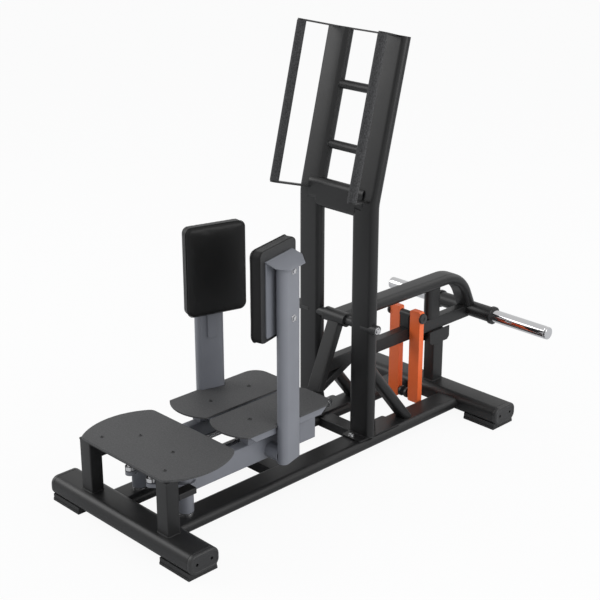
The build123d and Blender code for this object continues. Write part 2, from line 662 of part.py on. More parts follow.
def build_posts():
    place = post_local()
    inner_face = -OVAL_THICK / 2
    rail_face = inner_face - PAD_RAIL_THICK
    plate_face = rail_face - PAD_PLATE_THICK
    rail = Pos((inner_face + rail_face) / 2, 0, (PAD_RAIL_BOTTOM_Z + POST_TOP_Z) / 2) * Box(
        PAD_RAIL_THICK, PAD_RAIL_WIDE, POST_TOP_Z - PAD_RAIL_BOTTOM_Z)

    plate = Pos((rail_face + plate_face) / 2, 0, (PAD_PLATE_BOTTOM_Z + PAD_PLATE_TOP_Z) / 2) * Box(
        PAD_PLATE_THICK, PAD_PLATE_LONG, PAD_PLATE_TOP_Z - PAD_PLATE_BOTTOM_Z)
    nose_x = OVAL_THICK / 2 + 2.0
    back = Plane(origin=(rail_face, 0, 0), x_dir=(0, 1, 0), z_dir=(1, 0, 0))
    nose = Plane(origin=(nose_x, 0, 0), x_dir=(0, 1, 0), z_dir=(1, 0, 0))
    back_mid = PAD_PLATE_TOP_Z - HOOD_SKIRT / 2
    nose_mid = PAD_PLATE_TOP_Z - HOOD_DROP - HOOD_SKIRT / 2
    hood = loft([back * Pos(0, back_mid) * Rectangle(PAD_PLATE_LONG, HOOD_SKIRT),
                 nose * Pos(0, nose_mid) * Rectangle(HOOD_NOSE, HOOD_SKIRT)])
    hood -= along((0, 0, POST_BOTTOM_Z), (0, 0, POST_TOP_Z), flat_oval(OVAL_WIDE, OVAL_THICK), (0, 1, 0))
    hood -= rail
    hood = hood.solids().sort_by(SortBy.VOLUME)[-1]
    put_pair("pad_bracket", place * (plate + hood), place * rail)

    pad_face = plate_face - PAD_BACK_GAP
    pad = extrude(Plane(origin=(pad_face, 0, PAD_CENTRE_Z), x_dir=(0, 1, 0), z_dir=(-1, 0, 0))
                  * RectangleRounded(PAD_LONG, PAD_HIGH, PAD_CORNER), amount=PAD_THICK)
    pad = fillet(pad.faces().sort_by(Axis.X)[0].edges(), PAD_EDGE)
    put_pair("thigh_pad", place * pad)

    bolts = []
    for z in PAD_BOLT_Z:
        head = cylinder_x(OVAL_THICK / 2, OVAL_THICK / 2 + PAD_BOLT_HEAD, 0, z, PAD_BOLT_HEAD_R)
        head = chamfer(head.faces().sort_by(Axis.X)[-1].edges(), 1.5)
        bolts.append(place * head)
    return bolts


# ---------------------------------------------------------------- lever
def build_lever():
    sleeve = cylinder_x(-SLEEVE_HALF, SLEEVE_HALF, PIVOT_Y, PIVOT_Z, SLEEVE_R, AXLE_R + RUN_CLEAR)
    sleeve_solid = cylinder_x(-SLEEVE_HALF, SLEEVE_HALF, PIVOT_Y, PIVOT_Z, SLEEVE_R)
    put("lever_sleeve", sleeve)

    hub_solid = cylinder_x(-HORN_START_X, HORN_START_X, HORN_Y, HORN_Z, HORN_HUB_R)
    arm_points = [(0, PIVOT_Y, PIVOT_Z), (0, ARM_CORNER_Y, PIVOT_Z), (0, HORN_Y, HORN_Z)]
    arm = swept(arm_points, ARM_BEND_RADIUS, flat_oval(ARM_TUBE_WIDE, ARM_TUBE_THICK, TUBE_WALL))
    arm_solid = swept(arm_points, ARM_BEND_RADIUS, flat_oval(ARM_TUBE_WIDE, ARM_TUBE_THICK))
    arm = arm - sleeve_solid - hub_solid
    put("lever_arm", arm.solids().sort_by(SortBy.VOLUME)[-1])

    leg_dir = Vector(0, PIVOT_Y - LEG_FOOT_Y, PIVOT_Z - LEG_FOOT_Z).normalized()
    leg = along((0, LEG_FOOT_Y, LEG_FOOT_Z), (0, PIVOT_Y, PIVOT_Z), box_section(LEG_WIDE, LEG_THICK, TUBE_WALL))
    leg_solid = along((0, LEG_FOOT_Y, LEG_FOOT_Z), (0, PIVOT_Y, PIVOT_Z), box_section(LEG_WIDE, LEG_THICK))
    leg = (leg - sleeve_solid - arm_solid).solids().sort_by(SortBy.VOLUME)[-1]
    with BuildSketch(Plane.YZ.offset(-LUG_WIDE / 2)) as lug_sketch:
        with Locations((LINK_Y, LINK_Z)):
            Circle(LUG_R)
        with Locations((LEG_FOOT_Y + leg_dir.Y * 30, LEG_FOOT_Z + leg_dir.Z * 30)):
            Circle(LUG_R * 0.7)
        make_hull()
    lug = extrude(lug_sketch.sketch, amount=LUG_WIDE) - leg_solid
    lug = lug.solids().sort_by(Axis.Z)[0]
    put("lever_leg", leg + lug)

    beam_front_y = PIVOT_Y - (PIVOT_Z - BEAM_Z) * leg_dir.Y / leg_dir.Z
    beam = along((0, beam_front_y, BEAM_Z), (0, HORN_Y, BEAM_Z), box_section(BEAM_WIDE, BEAM_HIGH, TUBE_WALL))
    beam_solid = along((0, beam_front_y, BEAM_Z), (0, HORN_Y, BEAM_Z), box_section(BEAM_WIDE, BEAM_HIGH))
    beam = (beam - leg_solid - hub_solid - arm_solid).solids().sort_by(SortBy.VOLUME)[-1]
    put("lever_beam", beam)

    diagonal = along((0, LEG_FOOT_Y + 12, LEG_FOOT_Z), (0, DIAGONAL_TOP_Y, BEAM_Z),
                     box_section(BEAM_WIDE, DIAGONAL_THICK, TUBE_WALL))
    diagonal = diagonal - leg_solid - beam_solid - lug

    strut = along((0, STRUT_Y, BEAM_TOP_Z), (0, STRUT_Y, PIVOT_Z),
                  flat_oval(STRUT_LONG, STRUT_THICK, TUBE_WALL), (0, 1, 0))
    put("lever_braces", diagonal.solids().sort_by(SortBy.VOLUME)[-1],
        (strut - arm_solid).solids().sort_by(SortBy.VOLUME)[-1])

    link_pin = cylinder_x(-REAR_EYE_X - EYE_WIDE, REAR_EYE_X + EYE_WIDE, LINK_Y, LINK_Z, REAR_PIN_R)
    for side in (-1, 1):
        mid = side * REAR_EYE_X
        barrel = cylinder_x(mid - EYE_WIDE / 2, mid + EYE_WIDE / 2, LINK_Y, LINK_Z, REAR_BALL_R)
        link_pin += fillet(barrel.edges().filter_by(GeomType.CIRCLE), REAR_BALL_ROUND)
    PARTS["lever_leg"] = PARTS["lever_leg"] - cylinder_x(-LUG_WIDE, LUG_WIDE, LINK_Y, LINK_Z, REAR_PIN_R)
    put("link_pin", link_pin)


def build_pivot():
    """Axle through both uprights, with spacers inside and caps outside."""
    outer = RAIL_X + OVAL_WIDE / 2
    axle = cylinder_x(-outer - AXLE_CAP_DEEP, outer + AXLE_CAP_DEEP, PIVOT_Y, PIVOT_Z, AXLE_R)
    solid = upright(RAIL_X, 0.0)
    spacer = cylinder_x(SLEEVE_HALF + 0.3, RAIL_X, PIVOT_Y, PIVOT_Z, SPACER_R, AXLE_R)
    spacer = (spacer - solid).solids().sort_by(Axis.X)[0]
    cap = cylinder_x(RAIL_X, outer + AXLE_CAP_DEEP, PIVOT_Y, PIVOT_Z, AXLE_CAP_R, AXLE_R)
    cap = (cap - solid).solids().sort_by(Axis.X)[-1]
    bolt = cylinder_x(outer + AXLE_CAP_DEEP, outer + AXLE_CAP_DEEP + AXLE_BOLT_HEAD, PIVOT_Y, PIVOT_Z, AXLE_BOLT_R)
    bolt = chamfer(bolt.faces().sort_by(Axis.X)[-1].edges(), 2)
    put_both("axle_collars", spacer, cap)
    put("pivot_axle", axle, bolt, mirrored(bolt))


def build_horns():
    core = cylinder_x(-HORN_TIP_X + HORN_CAP_THICK, HORN_TIP_X - HORN_CAP_THICK, HORN_Y, HORN_Z, HORN_CORE_R)
    hub_half = HORN_START_X - FLANGE_THICK
    hub = cylinder_x(-hub_half, hub_half, HORN_Y, HORN_Z, HORN_HUB_R, HORN_CORE_R)
    put("horn_cross_tube", hub, core)
    flange = cylinder_x(HORN_START_X - FLANGE_THICK, HORN_START_X, HORN_Y, HORN_Z, FLANGE_R, HORN_CORE_R)
    flange = chamfer(flange.edges().filter_by(GeomType.CIRCLE).group_by(Axis.X)[-1].sort_by(SortBy.RADIUS)[-1], 3)
    put_both("horn_flanges", flange)
    sleeve = cylinder_x(HORN_START_X, HORN_TIP_X - HORN_CAP_THICK, HORN_Y, HORN_Z, HORN_R, HORN_CORE_R)
    put_both("weight_horns", sleeve)
    cap = cylinder_x(HORN_TIP_X - HORN_CAP_THICK, HORN_TIP_X, HORN_Y, HORN_Z, HORN_CAP_R)
    cap = chamfer(cap.faces().sort_by(Axis.X)[-1].edges(), HORN_CHAMFER)
    put_both("horn_end_caps", cap)


def build_hangers():
    """Channel bars that hang from a pin across the top of the beam."""
    inner = HANGER_X - HANGER_WIDE / 2
    outer = HANGER_X + HANGER_WIDE / 2
    mid_z = (HANGER_BOTTOM_Z + HANGER_TOP_Z) / 2
    face = Plane(origin=(HANGER_X, HANGER_Y - HANGER_THICK / 2, mid_z), x_dir=(1, 0, 0), z_dir=(0, 1, 0))
    bar = extrude(face * RectangleRounded(HANGER_WIDE, HANGER_TOP_Z - HANGER_BOTTOM_Z, HANGER_CORNER),
                  amount=HANGER_THICK)
    hollow = Pos(HANGER_X, HANGER_Y + HANGER_WALL, (HANGER_BOTTOM_Z + HANGER_TOP_Z) / 2) * Box(
        HANGER_WIDE - 2 * HANGER_WALL, HANGER_THICK, HANGER_TOP_Z - HANGER_BOTTOM_Z - 2 * HANGER_WALL)
    bar -= hollow
    bar -= cylinder_x(inner, outer, HANGER_Y, HANGER_PIN_Z, HANGER_PIN_R + RUN_CLEAR)
    bar -= cylinder_x(inner, HANGER_X, HANGER_Y, HANGER_PEG_Z, HANGER_PIN_R)
    put_pair("hanger_bar", bar)
    peg = cylinder_x(PEG_HALF_GAP + HANGER_CAP_DEEP, inner + HANGER_WALL, HANGER_Y, HANGER_PEG_Z, HANGER_PIN_R)
    knob = cylinder_x(PEG_HALF_GAP, PEG_HALF_GAP + HANGER_CAP_DEEP, HANGER_Y, HANGER_PEG_Z, HANGER_CAP_R)
    put_pair("hanger_peg", peg + knob)

    boss = cylinder_x(-inner + HANGER_GAP, inner - HANGER_GAP, HANGER_Y, HANGER_PIN_Z, HANGER_BOSS_R)
    web_high = HANGER_PIN_Z - BEAM_TOP_Z
    web = Pos(0, HANGER_Y, BEAM_TOP_Z + web_high / 2) * Box(BEAM_WIDE, 2 * HANGER_BOSS_R, web_high)
    boss = boss + web - cylinder_x(-inner, inner, HANGER_Y, HANGER_PIN_Z, HANGER_PIN_R)
    put("hanger_boss", boss)
    put("hanger_pin", cylinder_x(-outer - HANGER_GAP, outer + HANGER_GAP, HANGER_Y, HANGER_PIN_Z, HANGER_PIN_R))
    cap = cylinder_x(outer + HANGER_GAP, outer + HANGER_GAP + HANGER_CAP_DEEP, HANGER_Y, HANGER_PIN_Z, HANGER_CAP_R)
    put_both("hanger_pin_caps", cap)


def build_rods():
    """Push rods: spherical eye on the crank stud, straight rod, plain eye on the lever's pin."""
    front = Vector(CRANK_X, CRANK_Y, ROD_Z)
    rear = Vector(REAR_EYE_X, LINK_Y, LINK_Z)
    way = (rear - front).normalized()
    ball = Pos(*front) * Sphere(BALL_R)
    slab = Pos(*front) * Box(4 * BALL_R, 4 * BALL_R, EYE_WIDE)
    ball = (ball & slab) - cylinder_z(CRANK_X, CRANK_Y, 0, BEAM_Z, STUD_R + RUN_CLEAR)
    eye = cylinder_z(CRANK_X, CRANK_Y, ROD_Z - EYE_WIDE * 0.4, ROD_Z + EYE_WIDE * 0.4, EYE_R)
    rear_eye = cylinder_x(REAR_EYE_X - EYE_WIDE / 2, REAR_EYE_X + EYE_WIDE / 2, LINK_Y, LINK_Z, EYE_R)
    bar = along(tuple(front + way * (BALL_R + ROD_NECK)), tuple(rear), Circle(ROD_R))
    rod = eye + bar + rear_eye
    rod -= Pos(*front) * Sphere(BALL_R + BALL_FIT)
    rod -= cylinder_x(REAR_EYE_X - EYE_WIDE, REAR_EYE_X + EYE_WIDE, LINK_Y, LINK_Z, REAR_BALL_R + REAR_PLAY)
    put_pair("push_rod", rod)
    put_pair("rod_ball", ball)
    stud = cylinder_z(CRANK_X, CRANK_Y, CRANK_TOP_Z - CRANK_THICK, ROD_Z + EYE_WIDE / 2, STUD_R)
    head = cylinder_z(CRANK_X, CRANK_Y, ROD_Z + EYE_WIDE / 2, ROD_Z + EYE_WIDE / 2 + 7, STUD_R * 1.7)
    return stud + head


def build_rest():
    """Post on the rear crossbar with the cradle and rubber that the lever lies on."""
    pad_top = BEAM_BOTTOM_Z - REST_GAP
    post_top = pad_top - REST_PAD_HIGH
    crossbar = crossbar_solid(REAR_BAR_Y, CROSSBAR_HALF)
    post = along((0, REST_Y, CROSSBAR_Z), (0, REST_Y, post_top),
                 box_section(REST_WIDE, REST_LONG, TUBE_WALL)) - crossbar
    rubber = Pos(0, REST_Y, pad_top - REST_PAD_HIGH / 2) * Box(BEAM_WIDE, REST_LONG, REST_PAD_HIGH)
    put("rest_rubber", rubber)
    side_z = pad_top - REST_SIDE_HIGH / 2
    side_x = REST_WIDE / 2 + REST_SIDE / 2
    side = Pos(side_x, REST_Y, side_z) * Box(REST_SIDE, REST_SIDE_LONG, REST_SIDE_HIGH)
    side = chamfer(side.edges().filter_by(Axis.X).group_by(Axis.Z)[0], 12)
    put("rest_post", post, side, mirrored(side))


def main():
    os.makedirs("parts", exist_ok=True)
    build_base()
    build_uprights()
    build_grips()
    build_step()
    build_arms()
    fasteners = build_foot_plates() + build_posts()
    build_lever()
    build_pivot()
    build_horns()
    build_hangers()
    fasteners.append(build_rods())
    put_pair("arm_fasteners", *fasteners)
    build_rest()
    for name, shape in PARTS.items():
        export_step(Pos(0, -ORIGIN_Y, 0) * shape, f"parts/{name}.step")
    print(len(PARTS), "nodes")


main()
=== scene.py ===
"""Scene of a plate-loaded standing hip abduction machine.

The scene is in metres. The classes hold their sizes in the drawing's millimetres, where +Y runs
from the step to the weight horns and +X is the machine's right.
"""

import json
import logging
import math
from dataclasses import dataclass
from enum import Enum

import bmesh
import bpy
import numpy as np
from mathutils import Matrix

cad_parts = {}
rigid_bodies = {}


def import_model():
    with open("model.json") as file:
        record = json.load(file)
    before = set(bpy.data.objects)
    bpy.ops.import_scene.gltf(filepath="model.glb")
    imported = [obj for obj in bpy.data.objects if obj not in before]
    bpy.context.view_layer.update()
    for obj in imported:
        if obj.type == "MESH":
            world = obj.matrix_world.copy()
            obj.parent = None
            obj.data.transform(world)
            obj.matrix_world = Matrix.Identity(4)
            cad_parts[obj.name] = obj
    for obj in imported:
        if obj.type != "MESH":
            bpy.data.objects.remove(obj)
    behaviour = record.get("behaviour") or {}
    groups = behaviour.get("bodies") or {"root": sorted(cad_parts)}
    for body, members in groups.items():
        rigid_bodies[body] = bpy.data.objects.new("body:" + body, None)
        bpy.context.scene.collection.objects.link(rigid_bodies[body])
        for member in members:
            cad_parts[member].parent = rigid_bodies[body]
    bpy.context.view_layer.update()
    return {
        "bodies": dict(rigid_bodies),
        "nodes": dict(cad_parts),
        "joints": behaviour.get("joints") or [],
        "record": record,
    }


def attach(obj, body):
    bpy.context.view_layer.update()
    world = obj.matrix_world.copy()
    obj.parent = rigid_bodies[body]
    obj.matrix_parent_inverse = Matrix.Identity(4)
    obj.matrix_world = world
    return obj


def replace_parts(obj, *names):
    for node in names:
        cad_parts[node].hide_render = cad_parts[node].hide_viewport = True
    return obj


LOG = logging.getLogger("machine")
MM = 0.001
# How far in front of the frame's origin the drawing's lies, in metres.
ORIGIN_Y = 0.9105
# Edges sharper than this, in degrees, stay sharp.
SMOOTH = 32.0
# Corners closer than this, in metres, are one.
TOUCH = 1e-6
Point = tuple[float, float, float]
Profile = list[tuple[float, float]]


def hand(side: int) -> str:
    """Name of a side: 1 is the right, -1 the left."""
    return "right" if side > 0 else "left"


# ---- shader maths
class Value:
    """One output socket whose arithmetic is written as nodes."""

    def __init__(self, layout: "Layout", socket: bpy.types.NodeSocket) -> None:
        """Wrap a socket of a layout."""
        self.layout = layout
        self.socket = socket

    def _math(self, operation: str, first: object, second: object) -> "Value":
        """Math node on two operands, either of them a number."""
        return self.layout.node("ShaderNodeMath", {"operation": operation}, {0: first, 1: second})

    def __add__(self, other: object) -> "Value":
        """Sum."""
        return self._math("ADD", self, other)

    def __radd__(self, other: object) -> "Value":
        """Sum with a number on the left."""
        return self._math("ADD", other, self)

    def __sub__(self, other: object) -> "Value":
        """Difference."""
        return self._math("SUBTRACT", self, other)

    def __rsub__(self, other: object) -> "Value":
        """Difference with a number on the left."""
        return self._math("SUBTRACT", other, self)

    def __mul__(self, other: object) -> "Value":
        """Product."""
        return self._math("MULTIPLY", self, other)

    def __rmul__(self, other: object) -> "Value":
        """Product with a number on the left."""
        return self._math("MULTIPLY", other, self)

    def clamp(self) -> "Value":
        """Held between 0 and 1."""
        return self.layout.node("ShaderNodeClamp", {}, {"Value": self})


class Layout:
    """A node tree while its nodes are being laid."""

    def __init__(self, tree: bpy.types.NodeTree, ending: str) -> None:
        """Empty a tree and give it its closing node.

        Args:
            tree: the tree to lay.
            ending: type of the closing node.
        """
        self.tree = tree
        self.tree.nodes.clear()
        self.ending = tree.nodes.new(ending)

    def node(self, kind: str, settings: dict, sockets: dict, out: object = 0) -> Value:
        """Make one node.

        Args:
            kind: node type.
            settings: properties, which are set first.
            sockets: input name or index to a number, colour or Value.
            out: name or index of the output to return.

        Returns:
            The chosen output.
        """
        made = self.tree.nodes.new(kind)
        for key, value in settings.items():
            setattr(made, key, value)
        for key, value in sockets.items():
            if isinstance(value, Value):
                self.tree.links.new(value.socket, made.inputs[key])
            else:
                made.inputs[key].default_value = value
        return Value(self, made.outputs[out])

    def close(self, value: Value) -> None:
        """Join a value to the closing node."""
        self.tree.links.new(value.socket, self.ending.inputs[0])


class Recipe(Layout):
    """A material while its nodes are being laid."""

    def __init__(self, name: str) -> None:
        """Start an empty material.

        Args:
            name: name of the new material.
        """
        self.material = bpy.data.materials.new(name)
        self.material.use_nodes = True
        super().__init__(self.material.node_tree, "ShaderNodeOutputMaterial")

    def where(self) -> Value:
        """Object coordinates, which follow the piece."""
        return self.node("ShaderNodeTexCoord", {}, {}, "Object")

    def noise(self, scale: float, detail: float = 2.0, vector: Value | None = None,
              rough: float = 0.5) -> Value:
        """Noise of a given scale per metre, from 0 to 1."""
        return self.node("ShaderNodeTexNoise", {}, {
            "Vector": vector or self.where(), "Scale": scale, "Detail": detail, "Roughness": rough})

    def cells(self, scale: float, feature: str = "F1") -> Value:
        """Distance to the nearest cell centre or edge."""
        sockets = {"Vector": self.where(), "Scale": scale}
        return self.node("ShaderNodeTexVoronoi", {"feature": feature}, sockets, "Distance")

    def stretched(self, scale: Point) -> Value:
        """Object coordinates stretched along the axes."""
        return self.node("ShaderNodeMapping", {}, {"Vector": self.where(), "Scale": scale})

    def tint(self, low: Point, high: Point, share: Value) -> Value:
        """Colour between two others by a share from 0 to 1."""
        sockets = {0: share, 6: (*low, 1.0), 7: (*high, 1.0)}
        return self.node("ShaderNodeMix", {"data_type": "RGBA"}, sockets, 2)

    def spread(self, value: Value, low: float, high: float) -> Value:
        """A value from 0 to 1 spread between two limits."""
        return self.node("ShaderNodeMapRange", {}, {"Value": value, "To Min": low, "To Max": high})

    def bump(self, height: Value, strength: float, distance: float, normal: Value | None = None) -> Value:
        """Bump node on a height."""
        sockets: dict = {"Height": height, "Strength": strength, "Distance": distance}
        if normal is not None:
            sockets["Normal"] = normal
        return self.node("ShaderNodeBump", {}, sockets)

    def finish(self, **sockets: object) -> bpy.types.Material:
        """Lay the surface shader and join it to the output.

        Args:
            sockets: Principled inputs, with underscores for spaces.

        Returns:
            The finished material.
        """
        named = {key.replace("_", " "): value for key, value in sockets.items()}
        self.close(self.node("ShaderNodeBsdfPrincipled", {}, named))
        return self.material


def shade(colour: Point, factor: float) -> Point:
    """A colour made lighter or darker."""
    return (colour[0] * factor, colour[1] * factor, colour[2] * factor)


# ---- finishes
@dataclass(frozen=True)
class PowderCoat:
    """Sprayed and baked paint: fine orange peel, soft rounded edges and faint clouds of tone."""

    name: str
    colour: Point
    roughness: float = 0.4
    peel: float = 0.25
    edge: float = 0.0012
    gloss: float = 0.5

    def material(self) -> bpy.types.Material:
        """Build the paint."""
        r = Recipe(self.name)
        cloud = r.noise(9.0, 4.0)
        grain = r.noise(2600.0, 2.0)
        share = (cloud * 0.7 + grain * 0.3).clamp()
        rounded = r.node("ShaderNodeBevel", {"samples": 4}, {"Radius": self.edge})
        peel = r.bump(r.noise(420.0, 1.0), self.peel, 0.0006, rounded)
        return r.finish(
            Base_Color=r.tint(shade(self.colour, 0.88), shade(self.colour, 1.14), share),
            Roughness=r.spread(cloud, self.roughness - 0.05, self.roughness + 0.07),
            Normal=peel, Specular_IOR_Level=self.gloss)


@dataclass(frozen=True)
class GritCoat:
    """Fine anti-slip coating: dense raised specks of uneven height."""

    name: str
    colour: Point
    roughness: float = 0.62

    def material(self) -> bpy.types.Material:
        """Build the coating."""
        r = Recipe(self.name)
        specks = r.cells(430.0)
        cloud = r.noise(185.0, 3.0, rough=0.7)
        broad = r.noise(7.0, 3.0)
        share = (specks * 0.5 + cloud * 1.6 - 0.55).clamp()
        rounded = r.node("ShaderNodeBevel", {"samples": 4}, {"Radius": 0.0012})
        height = (1.0 - specks) * 0.6 + cloud * 0.4
        return r.finish(
            Base_Color=r.tint(shade(self.colour, 0.6), shade(self.colour, 1.46), share),
            Roughness=r.spread(broad, self.roughness - 0.06, self.roughness + 0.06),
            Normal=r.bump(height, 0.5, 0.0006, rounded))


@dataclass(frozen=True)
class Vinyl:
    """Upholstery vinyl: pebbled leather grain with fine creases."""

    name: str
    colour: Point
    roughness: float = 0.45

    def material(self) -> bpy.types.Material:
        """Build the vinyl."""
        r = Recipe(self.name)
        pebbles = r.cells(480.0, "DISTANCE_TO_EDGE")
        creases = r.noise(190.0, 4.0, rough=0.6)
        broad = r.noise(14.0, 2.0)
        height = (pebbles * 3.0).clamp() * 0.7 + creases * 0.3
        return r.finish(
            Base_Color=r.tint(shade(self.colour, 0.7), shade(self.colour, 1.35), (pebbles * 2.5).clamp()),
            Roughness=r.spread(broad, self.roughness - 0.05, self.roughness + 0.08),
            Normal=r.bump(height, 0.35, 0.0005), Specular_IOR_Level=0.3,
            Sheen_Weight=0.08, Sheen_Roughness=0.4)


@dataclass(frozen=True)
class Rubber:
    """Rubber or foam with a mottled, slightly pitted skin."""

    name: str
    colour: Point
    roughness: float = 0.8
    grain: float = 520.0
    pits: float = 0.6
    contrast: float = 0.5

    def material(self) -> bpy.types.Material:
        """Build the rubber."""
        r = Recipe(self.name)
        mottle = r.noise(self.grain, 4.0, rough=0.7)
        pits = r.cells(self.grain * 1.6)
        share = (mottle * 2.6 - 0.8).clamp()
        dark = shade(self.colour, 1.0 - self.contrast)
        pale = shade(self.colour, 1.0 + self.contrast * 1.4)
        return r.finish(
            Base_Color=r.tint(dark, pale, share),
            Roughness=r.spread(mottle, self.roughness - 0.1, min(1.0, self.roughness + 0.1)),
            Normal=r.bump(pits * 0.5 + mottle * 0.5, self.pits, 0.0008))


@dataclass(frozen=True)
class Metal:
    """Bare metal with a drawn grain along X, or mirror plating where the grain is nought."""

    name: str
    colour: Point
    roughness: float = 0.12
    grain: float = 0.05

    def material(self) -> bpy.types.Material:
        """Build the metal."""
        if self.grain == 0.0:
            return self.plated()
        r = Recipe(self.name)
        drawn = r.noise(1.0, 3.0, r.stretched((60.0, 1800.0, 1800.0)))
        broad = r.noise(16.0, 2.0)
        rounded = r.node("ShaderNodeBevel", {"samples": 4}, {"Radius": 0.0006})
        return r.finish(
            Base_Color=r.tint(shade(self.colour, 0.93), self.colour, broad),
            Roughness=(drawn * self.grain + broad * self.grain + (self.roughness - self.grain)).clamp(),
            Normal=r.bump(drawn, self.grain * 0.8, 0.0001, rounded), Metallic=1.0)

    def plated(self) -> bpy.types.Material:
        """Mirror plating with faint handling marks in its gloss."""
        r = Recipe(self.name)
        marks = r.noise(38.0, 4.0, rough=0.6)
        return r.finish(
            Base_Color=r.tint(shade(self.colour, 0.95), self.colour, marks),
            Roughness=r.spread(marks, self.roughness - 0.02, self.roughness + 0.05), Metallic=1.0)


class Finish(Enum):
    """The finishes by the record's slot names."""

    BLACK = "black_paint"
    GREY = "grey_paint"
    ORANGE = "orange_paint"
    PLATE = "textured_plate"
    FOOT = "foot_rubber"
    GRIP = "grip_rubber"
    CAP = "cap_plastic"
    CHROME = "chrome"
    STEEL = "bright_steel"
    VINYL = "vinyl"
    BUSH = "bush_plastic"


RECIPES = {
    Finish.BLACK: PowderCoat("black_paint", (0.0148, 0.0148, 0.0151), 0.38, gloss=0.38),
    Finish.GREY: PowderCoat("grey_paint", (0.212, 0.22, 0.246), 0.32),
    Finish.ORANGE: PowderCoat("orange_paint", (0.98, 0.175, 0.045), 0.4),
    Finish.PLATE: GritCoat("textured_plate", (0.066, 0.066, 0.067)),
    Finish.FOOT: Rubber("foot_rubber", (0.018, 0.018, 0.0185), 0.6, 300.0, 0.25),
    Finish.GRIP: Rubber("grip_rubber", (0.04, 0.04, 0.041), 0.86, 210.0, 0.9, 0.85),
    Finish.CAP: PowderCoat("cap_plastic", (0.024, 0.024, 0.0245), 0.42, 0.12, 0.0008),
    Finish.CHROME: Metal("chrome", (0.64, 0.64, 0.65), 0.06, 0.0),
    Finish.STEEL: Metal("bright_steel", (0.62, 0.62, 0.63), 0.26, 0.08),
    Finish.VINYL: Vinyl("vinyl", (0.0028, 0.0028, 0.0029), 0.42),
    Finish.BUSH: PowderCoat("bush_plastic", (0.16, 0.16, 0.16), 0.5, 0.05, 0.0004),
}


class Workshop:
    """Holds the made materials and puts pieces into the scene."""

    def __init__(self, frame: dict) -> None:
        """Make each finish once.

        Args:
            frame: the loaded record and nodes.
        """
        self.frame = frame
        self.materials = {kind: recipe.material() for kind, recipe in RECIPES.items()}

    def piece(self, name: str, shells: "Shells", finish: Finish, body: str) -> bpy.types.Object:
        """Make one piece of gathered shells, smooth shaded by angle.

        Args:
            name: name of the piece.
            shells: its points and faces.
            finish: what it is made of.
            body: the moving body that carries it.

        Returns:
            The new object.
        """
        data = bpy.data.meshes.new(name)
        data.from_pydata(np.concatenate(shells.points).tolist(), [], shells.faces)
        data.update()
        piece = bpy.data.objects.new(name, data)
        bpy.context.scene.collection.objects.link(piece)
        bm = bmesh.new()
        bm.from_mesh(data)
        bmesh.ops.remove_doubles(bm, verts=bm.verts, dist=TOUCH)
        bmesh.ops.recalc_face_normals(bm, faces=bm.faces)
        bm.to_mesh(data)
        bm.free()
        self.dress(piece, finish)
        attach(piece, body)
        return piece

    def dress(self, piece: bpy.types.Object, finish: Finish, angle: float = SMOOTH) -> None:
        """Give a piece its material and smooth its curved faces.

        Args:
            piece: object to dress.
            finish: what it is made of.
            angle: edges sharper than this, in degrees, stay sharp; at 0 the piece stays flat shaded.
        """
        piece.data.materials.clear()
        piece.data.materials.append(self.materials[finish])
        if angle > 0.0:
            smooth_by_angle(piece, angle)


def smoothing_group() -> bpy.types.NodeTree:
    """Modifier group that merges loose corners and shades smooth below an angle."""
    found = bpy.data.node_groups.get("smooth_by_angle")
    if found:
        return found
    group = bpy.data.node_groups.new("smooth_by_angle", "GeometryNodeTree")
    group.interface.new_socket("Geometry", in_out="INPUT", socket_type="NodeSocketGeometry")
    group.interface.new_socket("Angle", in_out="INPUT", socket_type="NodeSocketFloat")
    group.interface.new_socket("Geometry", in_out="OUTPUT", socket_type="NodeSocketGeometry")
    lay = Layout(group, "NodeGroupOutput")
    shape = lay.node("NodeGroupInput", {}, {}, 0)
    limit = lay.node("NodeGroupInput", {}, {}, 1)
    merged = lay.node("GeometryNodeMergeByDistance", {}, {"Geometry": shape, "Distance": TOUCH})
    faces = lay.node("GeometryNodeSetShadeSmooth", {}, {"Geometry": merged})
    bend = lay.node("GeometryNodeInputMeshEdgeAngle", {}, {}, "Unsigned Angle")
    gentle = lay.node("FunctionNodeCompare", {"operation": "LESS_EQUAL"}, {0: bend, 1: limit})
    lay.close(lay.node("GeometryNodeSetShadeSmooth", {"domain": "EDGE"},
                       {"Geometry": faces, "Shade Smooth": gentle}))
    return group


def smooth_by_angle(piece: bpy.types.Object, angle: float) -> None:
    """Add the smoothing modifier with its angle in degrees."""
    modifier = piece.modifiers.new("smooth", "NODES")
    modifier.node_group = smoothing_group()
    modifier["Socket_1"] = math.radians(angle)


